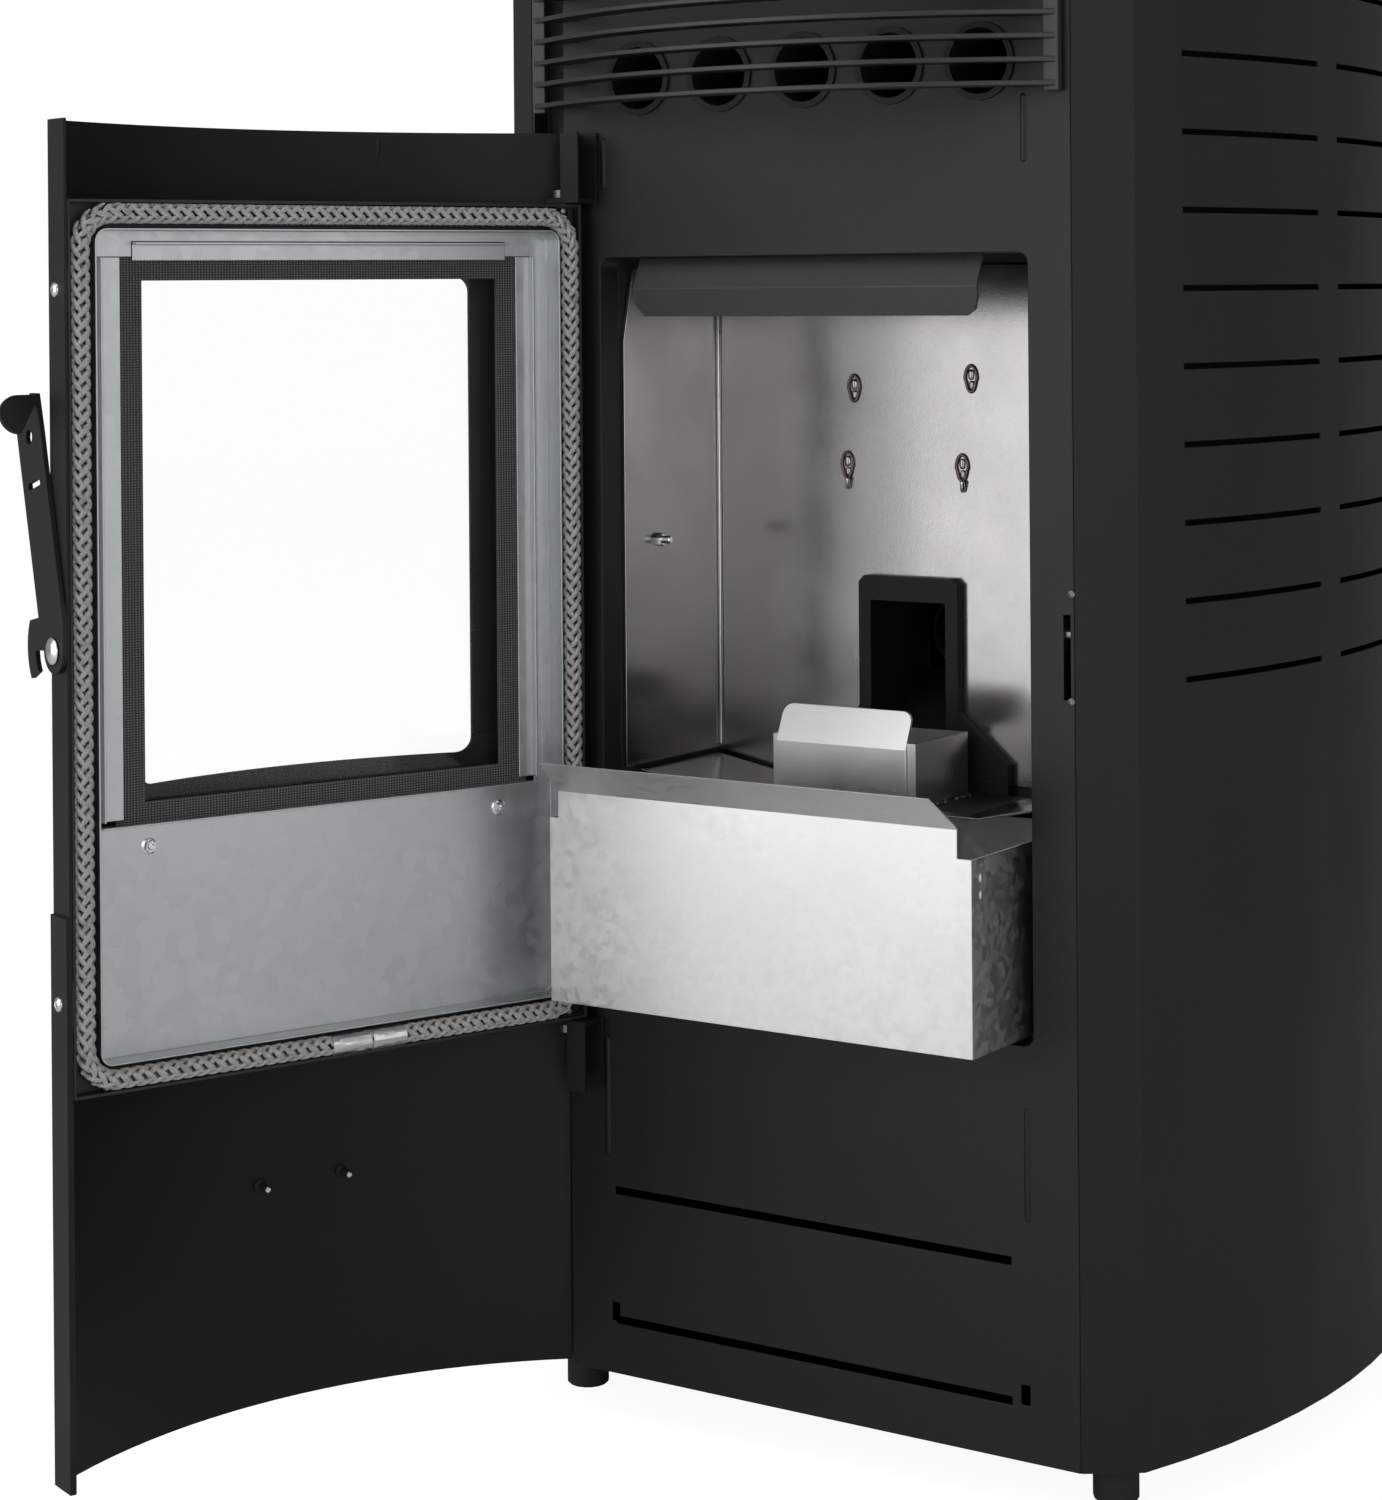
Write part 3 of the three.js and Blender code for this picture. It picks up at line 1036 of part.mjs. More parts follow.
const flightTurns = 4;
const flightSteps = 12;
const flightPitch = 40;
const flightOuter = AUGER_RADIUS - AUGER_WALL - 1.5;
const flightRings = Array.from({ length: flightTurns * flightSteps + 1 }, (_, i) => {
  const turn = (i / flightSteps) * 2 * Math.PI;
  const y = augerY[0] + 8 + (i / flightSteps) * flightPitch;
  const corner = (radius, along) => [
    augerX + radius * Math.cos(turn),
    y + along,
    augerZ + radius * Math.sin(turn),
  ];
  const root = AUGER_SHAFT - 2;
  return [corner(root, 0), corner(flightOuter, 0), corner(flightOuter, 3), corner(root, 3)];
});
const shaftBack = augerY[1] + 12;
const augerShaft = turned('y', augerAxis, bar(AUGER_SHAFT, augerY[0] + 4, shaftBack), 12);
const augerScrew = augerShaft.add(loft(flightRings));
place('auger_screw', augerScrew, STAINLESS());

const motorY = [augerY[1] + GAP, BACK_INSIDE - 8];
const gearbox = block([augerX - 32, augerX + 32], [motorY[0], motorY[0] + 30], [augerZ - 32, augerZ + 32]);
const motorCan = turned('y', augerAxis, bar(28, motorY[0] + 29, motorY[1]), 20);
const gearBore = turned('y', augerAxis, bar(AUGER_SHAFT + GAP, motorY[0] - 1, shaftBack + GAP), 16);
place('auger_gearmotor', gearbox.add(motorCan).subtract(gearBore), BLACK_STEEL());

// ---- Exhaust fan under the smoke channel, its motor, and the flue outlet ----
const exhaustY = [CHANNEL_FRONT - BOX_WALL, CHANNEL_FRONT - BOX_WALL + EXHAUST_DEEP];
const exhaustAxis = [EXHAUST_X, 0, EXHAUST_Z];
const exhaustRound = (radius, from, to, sides) => turned('y', exhaustAxis, bar(radius, from, to), sides);
const flueBore = FLUE_RADIUS - 1.5;
const fanMouthY = [CHANNEL_FRONT + 6, CHAMBER_BACK - 6];
const fanMouth = block(inBy(CHANNEL_X, 6), fanMouthY, [EXHAUST_Z, EXHAUST_TOP + 1]);
const fanHousing = exhaustRound(EXHAUST_RADIUS, ...exhaustY, 32)
  .subtract(exhaustRound(EXHAUST_RADIUS - SHEET, exhaustY[0] + SHEET, exhaustY[1] - SHEET, 32))
  .subtract(exhaustRound(flueBore, exhaustY[1] - SHEET - 1, exhaustY[1] + 1, 24))
  .subtract(exhaustRound(4 + RUNNING, exhaustY[0] - 1, exhaustY[0] + SHEET + 1, 12))
  .subtract(fanMouth);
const fanMotor = exhaustRound(30, exhaustY[0] - 45, exhaustY[0] + 1, 20)
  .subtract(exhaustRound(4 + RUNNING, exhaustY[0] - 13, exhaustY[0] + SHEET, 12));
place('exhaust_fan_housing', fanHousing.add(fanMotor), BLACK_STEEL());

const bladeY = [exhaustY[0] + SHEET + 4, exhaustY[0] + SHEET + 30];
const bladeCount = 8;
const blades = Array.from({ length: bladeCount }, (_, i) => {
  const geometry = new THREE.BoxGeometry(EXHAUST_RADIUS - 18, bladeY[1] - bladeY[0], 2);
  geometry.translate(EXHAUST_RADIUS / 2 + 3, (bladeY[0] + bladeY[1]) / 2, 0);
  geometry.rotateY((i / bladeCount) * 2 * Math.PI);
  geometry.translate(EXHAUST_X, 0, EXHAUST_Z);
  return toSolid(geometry);
});
const fanWheel = union([
  exhaustRound(EXHAUST_RADIUS - 10, bladeY[0] - 2, bladeY[0], 24),
  exhaustRound(14, bladeY[0] - 2, bladeY[1], 12),
  exhaustRound(4, exhaustY[0] - 12, bladeY[0], 12),
  ...blades,
]);
place('exhaust_fan_wheel', fanWheel, STAINLESS());

const flueBack = BODY_DEPTH + FLUE_PROUD;
const flueY = [exhaustY[1] + GAP, flueBack];
place('flue_outlet', turned('y', exhaustAxis, tube(flueBore, FLUE_RADIUS, ...flueY), 32), BLACK_STEEL());

// ---- Air intake: from the rear panel forward and up to the ash compartment's back ----
const intakeFoot = ASH_BACK + BOX_WALL + GAP;
const intakeRise = 100;
const intakeSolid = (radius, over) => union([
  turned('y', [INTAKE_X, 0, INTAKE_Z], bar(radius, intakeFoot + 60 - radius, BODY_DEPTH + 30 + over), 20),
  turned('z', [INTAKE_X, intakeFoot + 60, 0], bar(radius, INTAKE_Z, INTAKE_Z + intakeRise + radius), 20),
  turned('y', [INTAKE_X, 0, INTAKE_Z + intakeRise], bar(radius, intakeFoot - over, intakeFoot + 60), 20),
]);
const intake = intakeSolid(INTAKE_RADIUS, 0).subtract(intakeSolid(INTAKE_RADIUS - 1.5, 1));
place('air_intake_pipe', intake, BLACK_STEEL());

// ---- Room fan behind the heat tubes ----
const roomY = [TUBE_BACK + GAP, TUBE_BACK + 56];
const roomX = [MOUTH_LEFT - 6, MOUTH_RIGHT + 12];
const roomZ = [TUBE_HIGH - 31, TUBE_HIGH + 31];
const drumY = (roomY[0] + roomY[1]) / 2;
const drumRound = (radius, x, sides) => turned('x', [0, drumY, TUBE_HIGH], bar(radius, ...x), sides);
const roomOutletX = [tubeCentres[0] - TUBE_BORE, tubeCentres[TUBE_COUNT - 1] + TUBE_BORE];
const roomOutletZ = [TUBE_HIGH - TUBE_BORE, TUBE_HIGH + TUBE_BORE];
const roomHousing = block(roomX, roomY, roomZ)
  .subtract(block(inBy(roomX, SHEET), inBy(roomY, SHEET), inBy(roomZ, SHEET)))
  .subtract(block(roomOutletX, [roomY[0] - 1, roomY[0] + SHEET + 1], roomOutletZ))
  .subtract(block(inBy(roomX, 20), inBy(roomY, 14), [roomZ[0] - 1, roomZ[0] + SHEET + 1]))
  .subtract(drumRound(3 + RUNNING, [roomX[0] - 1, roomX[1] + 1], 12));
place('room_fan_housing', roomHousing, ZINC());

const drumX = inBy(roomX, SHEET + 3);
const drumBars = Array.from({ length: 10 }, (_, i) => {
  const geometry = new THREE.BoxGeometry(drumX[1] - drumX[0], 1.5, 7);
  geometry.translate((drumX[0] + drumX[1]) / 2, 0, 20);
  geometry.rotateX((i / 10) * 2 * Math.PI);
  geometry.translate(0, drumY, TUBE_HIGH);
  return toSolid(geometry);
});
const drum = union([
  drumRound(24, [drumX[0], drumX[0] + 2], 20),
  drumRound(24, [drumX[1] - 2, drumX[1]], 20),
  drumRound(3, inBy(roomX, -2), 10),
  ...drumBars,
]);
place('room_fan_drum', drum, STAINLESS());

// The part stands on the middle of its box, as it is at rest.
stove.updateMatrixWorld(true);
const reach = new THREE.Box3().setFromObject(stove, true);
stove.position.set(-(reach.min.x + reach.max.x) / 2, -(reach.min.y + reach.max.y) / 2, -reach.min.z);

export default stove;
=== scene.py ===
import json
import math
import random

import bmesh
import bpy
from mathutils import Matrix, Vector
from mathutils.bvhtree import BVHTree

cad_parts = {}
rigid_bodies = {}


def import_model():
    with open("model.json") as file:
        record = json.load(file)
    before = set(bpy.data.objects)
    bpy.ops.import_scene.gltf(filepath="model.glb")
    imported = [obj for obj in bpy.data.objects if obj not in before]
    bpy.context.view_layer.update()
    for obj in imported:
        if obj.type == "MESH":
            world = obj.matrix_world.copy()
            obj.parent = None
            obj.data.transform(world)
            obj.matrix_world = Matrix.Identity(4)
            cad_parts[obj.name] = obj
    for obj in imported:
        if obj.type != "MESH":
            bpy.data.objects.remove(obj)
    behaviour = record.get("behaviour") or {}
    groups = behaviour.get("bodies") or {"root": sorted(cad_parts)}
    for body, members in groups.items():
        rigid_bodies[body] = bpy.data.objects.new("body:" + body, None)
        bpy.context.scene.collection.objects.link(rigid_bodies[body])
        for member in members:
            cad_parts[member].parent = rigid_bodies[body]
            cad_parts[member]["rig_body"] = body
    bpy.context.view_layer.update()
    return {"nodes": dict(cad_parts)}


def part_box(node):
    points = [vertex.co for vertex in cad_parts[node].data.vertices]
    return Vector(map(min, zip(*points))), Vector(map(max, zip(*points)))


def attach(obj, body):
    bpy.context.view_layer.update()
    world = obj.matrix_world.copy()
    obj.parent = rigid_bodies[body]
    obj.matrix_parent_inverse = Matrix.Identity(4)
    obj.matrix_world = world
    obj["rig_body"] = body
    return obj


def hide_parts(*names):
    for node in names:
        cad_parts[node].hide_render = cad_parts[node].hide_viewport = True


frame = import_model()
scene = bpy.context.scene
NODES = frame["nodes"]
TAU = 2 * math.pi

# ---- The stove's own measures: millimetres, x right, y back, z up, from the front plate's face ----
PLATE_LOW, PLATE_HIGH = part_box("front_plate")
HINGE = Vector((-163, -14, 0))
OPEN = math.radians(111.1)
BODY = Matrix.Translation(((PLATE_LOW.x + PLATE_HIGH.x) / 2, PLATE_LOW.y, 0)) @ Matrix.Scale(0.001, 4)
SWING = Matrix.Translation(HINGE) @ Matrix.Rotation(-OPEN, 4, "Z") @ Matrix.Translation(-HINGE)
DOOR = BODY @ SWING
ROPE_CHANNEL_X = (-172, 186.5)
ROPE_CHANNEL_Z = (260, 786)
ROPE_INSET = 8.4
ROPE_CORNER = 20
ROPE_Y = -6.7
ROPE_STRANDS = 6
STRAND_LEAN = math.radians(38)
TAPE_TURNS = [("rope_tape_left", (-9.8, 16.2), 3), ("rope_tape_right", (-34.7, -11.9), 8)]
# Small parts, by their place on the face that carries them; those of the door as if it were closed
LINING = [(223, 34), (204, 38), (204, 442), (223, 446)]
LINING_BACK = [(223, 447.6), (202.6, 443.2), (202.6, 36.8), (223, 32.4)]
LINING_Z = (400, 950)
PLATE_RIBS = [((165.5, 825), 18.5), ((-140, 812), 14.5), ((163, 207), 31.5), ((-142, 209), 36)]
KEYHOLES = [(-32, 664), (56, 671), (-37.5, 613), (49, 613)]
LINER_STUD = (60, 565)
POT_WELDS_Y = [(62, 80), (96, 112)]
POT_WELDS_X = 64
DRAWER_SPOTS = [(-50, 386), (-50, 376)]
STRIKE_SCREWS = [(195, 548.6), (194.5, 485)]
EDGE_SCREWS = [(-14, 733), (-12, 316)]
SHELL_STUDS_X = [-29, 29]
SHELL_STUDS_Z = 169
TRAY_NUTS = [(131, 401), (-114, 400)]
KEY_SLIT = (-60, 822)


# ---- Meshes ----
def add(name, verts, faces, matrix=BODY, smooth=True, sharp=35):
    """An object with its place in its mesh; its edges sharper than sharp degrees stay crisp."""
    mesh = bpy.data.meshes.new(name)
    mesh.from_pydata([matrix @ Vector(v) for v in verts], [], faces)
    mesh.validate()
    work = bmesh.new()
    work.from_mesh(mesh)
    bmesh.ops.recalc_face_normals(work, faces=work.faces)
    work.to_mesh(mesh)
    work.free()
    shade(mesh, smooth, sharp)
    piece = bpy.data.objects.new(name, mesh)
    scene.collection.objects.link(piece)
    return piece


def shade(mesh, smooth, sharp):
    mesh.polygons.foreach_set("use_smooth", [smooth] * len(mesh.polygons))
    if smooth:
        mesh.set_sharp_from_angle(angle=math.radians(sharp))


def finish(piece, look, body):
    piece.data.materials.clear()
    piece.data.materials.append(look)
    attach(piece, body)
    return piece


def joined(parts):
    """One mesh from several lists of verts and faces."""
    verts, faces = [], []
    for v, f in parts:
        start = len(verts)
        verts += v
        faces += [[i + start for i in face] for face in f]
    return verts, faces


def lathe(centre, axis, profile, sides=24):
    """Verts and faces of a turned shape; profile is (radius, along) from one pole to the other."""
    z = Vector(axis).normalized()
    x = z.orthogonal().normalized()
    y = z.cross(x)
    centre = Vector(centre)
    verts, faces = [], []
    for radius, along in profile:
        for i in range(sides):
            a = TAU * i / sides
            verts.append(centre + z * along + (x * math.cos(a) + y * math.sin(a)) * radius)
    for row in range(len(profile) - 1):
        for i in range(sides):
            j = (i + 1) % sides
            faces.append([row * sides + i, row * sides + j, (row + 1) * sides + j, (row + 1) * sides + i])
    faces.append(list(range(sides))[::-1])
    faces.append([(len(profile) - 1) * sides + i for i in range(sides)])
    return verts, faces


def softened(piece, width):
    """Rounds the piece's edges as far as the sheet allows and keeps the result as a plain mesh."""
    bevel = piece.modifiers.new("Edges", "BEVEL")
    bevel.width = width
    bevel.segments = 2
    bevel.limit_method = "ANGLE"
    bevel.angle_limit = math.radians(30)
    bevel.use_clamp_overlap = True
    shade(piece.data, True, 32)
    flats = piece.modifiers.new("Flats", "WEIGHTED_NORMAL")
    flats.keep_sharp = True
    flats.weight = 90
    settle(piece)


def plain_mesh(piece):
    """The piece's mesh with its modifiers, or its curve's bevel, worked in."""
    bpy.context.view_layer.update()
    graph = bpy.context.evaluated_depsgraph_get()
    return bpy.data.meshes.new_from_object(piece.evaluated_get(graph), depsgraph=graph)


def settle(piece):
    """Keeps the result of the piece's modifiers and drops them."""
    mesh = plain_mesh(piece)
    piece.modifiers.clear()
    piece.data = mesh


def refined(node, look, width):
    """A finished stand-in for a CAD node, with its flats merged, its edges eased and its curves smooth."""
    source = NODES[node]
    mesh = source.data.copy()
    work = bmesh.new()
    work.from_mesh(mesh)
    bmesh.ops.remove_doubles(work, verts=work.verts, dist=2e-6)
    bmesh.ops.dissolve_limit(work, angle_limit=math.radians(0.6), verts=work.verts, edges=work.edges)
    work.to_mesh(mesh)
    work.free()
    for layer in list(mesh.uv_layers):
        mesh.uv_layers.remove(layer)
    piece = bpy.data.objects.new(node + "_finished", mesh)
    scene.collection.objects.link(piece)
    softened(piece, width)
    finish(piece, look, source["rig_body"])
    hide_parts(node)
    return piece


# ---- Shader helpers ----
class Shader:
    """Builds one node tree: s("ShaderNodeX", inputs by name or number, settings) returns the node."""

    def __init__(self, tree):
        self.tree = tree
        self.tree.nodes.clear()

    def __call__(self, kind, inputs=None, **settings):
        node = self.tree.nodes.new(kind)
        for key, value in settings.items():
            setattr(node, key, value)
        for key, value in (inputs or {}).items():
            if isinstance(value, bpy.types.NodeSocket):
                self.tree.links.new(value, node.inputs[key])
            else:
                node.inputs[key].default_value = value
        return node

    def math(self, operation, a, b, clamp=False):
        return self("ShaderNodeMath", {0: a, 1: b}, operation=operation, use_clamp=clamp).outputs[0]

    def mix(self, factor, a, b):
        node = self("ShaderNodeMix", data_type="RGBA")
        for key, value in ((0, factor), (6, a), (7, b)):
            if isinstance(value, bpy.types.NodeSocket):
                self.tree.links.new(value, node.inputs[key])
            else:
                node.inputs[key].default_value = value
        return node.outputs[2]

    def ramp(self, value, low, high, to_low=0.0, to_high=1.0):
        node = self("ShaderNodeMapRange", {0: value, 1: low, 2: high, 3: to_low, 4: to_high})
        return node.outputs[0]

    def blend(self, a, b, share):
        """share of the value a, and the rest of b."""
        return self.math("ADD", self.math("MULTIPLY", a, share), self.math("MULTIPLY", b, 1 - share))

    def noise(self, place, scale, detail=2.0, roughness=0.5):
        inputs = {"Vector": place, "Scale": scale, "Detail": detail, "Roughness": roughness}
        return self("ShaderNodeTexNoise", inputs).outputs[0]

    def bump(self, height, strength, distance):
        inputs = {"Height": height, "Strength": strength, "Distance": distance}
        return self("ShaderNodeBump", inputs).outputs[0]


def shader_group(name, inputs, outputs, build):
    """A shared effect: inputs and outputs are (name, socket type, default)."""
    tree = bpy.data.node_groups.new(name, "ShaderNodeTree")
    s = Shader(tree)
    for label, kind, default in inputs:
        socket = tree.interface.new_socket(name=label, in_out="INPUT", socket_type=kind)
        if default is not None:
            socket.default_value = default
    for label, kind in outputs:
        tree.interface.new_socket(name=label, in_out="OUTPUT", socket_type=kind)
    given = s("NodeGroupInput")
    made = s("NodeGroupOutput")
    for label, value in build(s, given.outputs).items():
        tree.links.new(value, made.inputs[label])
    return tree


FLOAT, COLOUR, VECTOR = "NodeSocketFloat", "NodeSocketColor", "NodeSocketVector"


def grain(s, given):
    """Powder coat: small pimples in the coat, and slow changes in its sheen."""
    place = s("ShaderNodeTexCoord").outputs["Object"]
    fine = s.noise(place, given["Scale"], 3.0, 0.6)
    slow = s.noise(place, 7.0, 3.0, 0.55)
    bump = s.bump(fine, given["Strength"], 0.0004)
    return {"Normal": bump, "Sheen": s.ramp(slow, 0.3, 0.7), "Fleck": s.ramp(fine, 0.35, 0.75)}


def spangle(s, given):
    """Zinc crystals: large flat cells, each with its own grey and sheen, under fine rolling lines."""
    place = s("ShaderNodeTexCoord").outputs["Object"]
    bend = s("ShaderNodeTexNoise", {"Vector": place, "Scale": 60.0, "Detail": 2.0}).outputs[1]
    moved = s("ShaderNodeMixRGB", {0: 0.012, 1: place, 2: bend}).outputs[0]
    cells = s("ShaderNodeTexVoronoi", {"Vector": moved, "Scale": given["Scale"]}).outputs["Color"]
    tone = s("ShaderNodeSeparateColor", {0: cells}).outputs[0]
    fine = s.noise(place, 900.0, 4.0, 0.7)
    cloud = s.noise(place, 9.0, 4.0, 0.6)
    bump = s.bump(fine, given["Strength"], 0.0003)
    return {"Normal": bump, "Crystal": s.blend(tone, fine, 0.6), "Cloud": s.ramp(cloud, 0.3, 0.7)}


def brushed(s, given):
    """Mill finish: short fine lines along one direction, and hand marks that change the sheen."""
    place = s("ShaderNodeTexCoord").outputs["Object"]
    long = s("ShaderNodeMapping", {"Vector": place, "Scale": given["Stretch"]}).outputs[0]
    lines = s.noise(long, 1.0, 3.0, 0.6)
    pitted = s.noise(place, 1400.0)
    cloud = s.noise(place, 11.0, 5.0, 0.62)
    bump = s.bump(s.blend(lines, pitted, 0.7), given["Strength"], 0.0002)
    return {"Normal": bump, "Lines": lines, "Marks": s.ramp(cloud, 0.32, 0.68)}


GRAIN = shader_group("Powder coat grain", [("Scale", FLOAT, 1100.0), ("Strength", FLOAT, 0.3)],
                     [("Normal", VECTOR), ("Sheen", FLOAT), ("Fleck", FLOAT)], grain)
SPANGLE = shader_group("Zinc spangle", [("Scale", FLOAT, 110.0), ("Strength", FLOAT, 0.15)],
                       [("Normal", VECTOR), ("Crystal", FLOAT), ("Cloud", FLOAT)], spangle)
BRUSHED = shader_group("Mill finish", [("Stretch", VECTOR, (900.0, 900.0, 40.0)), ("Strength", FLOAT, 0.15)],
                       [("Normal", VECTOR), ("Lines", FLOAT), ("Marks", FLOAT)], brushed)


def material(name, build):
    made = bpy.data.materials.new(name)
    made.use_nodes = True
    s = Shader(made.node_tree)
    out = s("ShaderNodeOutputMaterial")
    made.node_tree.links.new(build(s), out.inputs["Surface"])
    return made


def grey(value):
    return (value, value, value, 1)


def coated(name, low, high, rough, scale=1100.0, strength=0.3, specular=0.5):
    """Black or dark coat: grey from low to high, with grain of the given scale and strength."""
    def build(s):
        effect = s("ShaderNodeGroup", {"Scale": scale, "Strength": strength}, node_tree=GRAIN).outputs
        colour = s.mix(effect["Fleck"], grey(low), grey(high))
        sheen = s.ramp(effect["Sheen"], 0.0, 1.0, rough - 0.03, rough + 0.04)
        return s("ShaderNodeBsdfPrincipled", {
            "Base Color": colour, "Roughness": sheen, "Normal": effect["Normal"],
            "Specular IOR Level": specular,
        }).outputs[0]
    return material(name, build)


def galvanised(name, low, high, rough, scale=110.0, strength=0.15):
    """Zinc: crystals between the colours low and high, with dull clouds over them."""
    def build(s):
        effect = s("ShaderNodeGroup", {"Scale": scale, "Strength": strength}, node_tree=SPANGLE).outputs
        tone = s.mix(effect["Crystal"], low, high)
        dull = s.mix(s.math("MULTIPLY", effect["Cloud"], 0.12), tone, grey(0.3))
        sheen = s.ramp(effect["Crystal"], 0.2, 0.8, rough - 0.05, rough + 0.06)
        return s("ShaderNodeBsdfPrincipled", {
            "Base Color": dull, "Metallic": 1.0, "Roughness": sheen, "Normal": effect["Normal"],
        }).outputs[0]
    return material(name, build)


def rolled(name, low, high, rough, stretch, strength):
    """Bare metal between the colours low and high, with lines drawn out as stretch says."""
    def build(s):
        effect = s("ShaderNodeGroup", {"Stretch": stretch, "Strength": strength}, node_tree=BRUSHED).outputs
        tone = s.mix(effect["Lines"], low, high)
        sheen = s.ramp(effect["Marks"], 0.0, 1.0, rough - 0.05, rough + 0.06)
        return s("ShaderNodeBsdfPrincipled", {
            "Base Color": tone, "Metallic": 1.0, "Roughness": sheen, "Normal": effect["Normal"],
        }).outputs[0]
    return material(name, build)


def glass_look(s):
    """Ceramic window glass: clear, with a weak reflection and a faint film."""
    place = s("ShaderNodeTexCoord").outputs["Object"]
    film = s.noise(place, 14.0, 4.0)
    fresnel = s("ShaderNodeFresnel", {"IOR": 1.45}).outputs[0]
    clear = s("ShaderNodeBsdfTransparent", {"Color": (0.99, 0.995, 0.995, 1)}).outputs[0]
    sheen = s("ShaderNodeBsdfGlossy", {"Roughness": s.ramp(film, 0.3, 0.8, 0.02, 0.08)}).outputs[0]
    weak = s.math("MULTIPLY", fresnel, 0.6)
    return s("ShaderNodeMixShader", {0: weak, 1: clear, 2: sheen}).outputs[0]


def rope_look(s):
    """Glass-fibre yarn: fine bright fibres along each strand, some strands darker than others."""
    along = s("ShaderNodeUVMap", uv_map="Strand").outputs[0]
    drawn = s("ShaderNodeMapping", {"Vector": along, "Scale": (3.0, 26.0, 1.0)}).outputs[0]
    fibre = s.noise(drawn, 1.0, 3.0, 0.7)
    place = s("ShaderNodeTexCoord").outputs["Object"]
    patch = s.noise(place, 160.0)
    shine = s.ramp(fibre, 0.4, 0.75)
    yarn = s.mix(shine, (0.3, 0.29, 0.275, 1), (0.9, 0.89, 0.87, 1))
    colour = s.mix(s.ramp(patch, 0.5, 0.8, 0.0, 0.7), yarn, (0.2, 0.19, 0.18, 1))
    bump = s.bump(fibre, 0.8, 0.0006)
    return s("ShaderNodeBsdfPrincipled", {
        "Base Color": colour, "Roughness": 0.5, "Normal": bump, "Sheen Weight": 0.25,
    }).outputs[0]


def weave_look(s):
    """Black glass-fibre tape: a fine plain weave along the tape's own length."""
    along = s("ShaderNodeUVMap", uv_map="Length").outputs[0]
    warp = s("ShaderNodeTexWave", {"Vector": along, "Scale": 0.16, "Distortion": 0.6, "Detail": 1.0},
             bands_direction="X").outputs[1]
    weft = s("ShaderNodeTexWave", {"Vector": along, "Scale": 0.2, "Distortion": 0.6, "Detail": 1.0},
             bands_direction="Y").outputs[1]
    height = s.math("MULTIPLY", warp, weft)
    colour = s.mix(height, (0.02, 0.02, 0.021, 1), (0.3, 0.3, 0.305, 1))
    return s("ShaderNodeBsdfPrincipled", {
        "Base Color": colour, "Roughness": 0.75, "Normal": s.bump(height, 0.9, 0.0012),
    }).outputs[0]


PAINT = coated("Black powder coat", 0.0085, 0.0125, 0.5, specular=0.3)
PLATE = coated("Black front plate", 0.006, 0.011, 0.42, 900.0, 0.35, specular=0.36)
DOOR_PAINT = coated("Black door coat", 0.006, 0.009, 0.5, specular=0.3)
# The grille has the same black coat as the rest, made lighter here as painted highlight on the slats' edges
# against the shade behind them
GRILLE_COAT_PAINTED_HIGHLIGHT = coated("Grille coat", 0.018, 0.028, 0.4)
STEEL = coated("Heat-proof black", 0.012, 0.02, 0.5, 700.0, 0.4)
BLACK = coated("Matt black", 0.006, 0.012, 0.62, 600.0, 0.5)
TUBE = coated("Heat tube coat", 0.008, 0.012, 0.5, 700.0, 0.3, specular=0.3)
BAFFLE = coated("Baffle coat", 0.03, 0.05, 0.45, 900.0, 0.35)
PLASTIC = coated("Black plastic", 0.015, 0.02, 0.42, 1500.0, 0.15)
RUBBER = coated("Foot rubber", 0.012, 0.018, 0.7, 500.0, 0.4)
ZINC = galvanised("Galvanised sheet", (0.51, 0.53, 0.535, 1), (0.62, 0.64, 0.643, 1), 0.36)
DRAWER_ZINC = galvanised("Drawer sheet", (0.8, 0.8, 0.79, 1), (0.88, 0.88, 0.87, 1), 0.33, 200.0, 0.12)
LINER = rolled("Stainless liner", (0.34, 0.335, 0.325, 1), (0.42, 0.415, 0.405, 1), 0.2,
               (1500.0, 1500.0, 700.0), 0.22)
BRIGHT_SHEET = rolled("Bright stainless", (0.8, 0.79, 0.77, 1), (0.9, 0.89, 0.87, 1), 0.3,
                      (60.0, 700.0, 700.0), 0.1)
BRIGHT = rolled("Plated screw", (0.72, 0.72, 0.73, 1), (0.85, 0.85, 0.86, 1), 0.18,
                (500.0, 500.0, 500.0), 0.2)
DARK_SCREW = rolled("Dull screw", (0.2, 0.2, 0.2, 1), (0.32, 0.32, 0.33, 1), 0.4,
                    (500.0, 500.0, 500.0), 0.3)
CHUTE = coated("Cast chute", 0.007, 0.014, 0.55, 420.0, 0.6, specular=0.3)
FOIL = rolled("Aluminium tape", (0.7, 0.7, 0.7, 1), (0.85, 0.85, 0.85, 1), 0.3,
              (400.0, 400.0, 400.0), 0.4)
DARK_WELD = rolled("Heat-tinted weld", (0.08, 0.05, 0.045, 1), (0.25, 0.2, 0.18, 1), 0.35,
                   (400.0, 400.0, 400.0), 0.5)
ROPE = material("Rope seal yarn", rope_look)
WEAVE = material("Glass tape", weave_look)
GLASS = material("Window glass", glass_look)

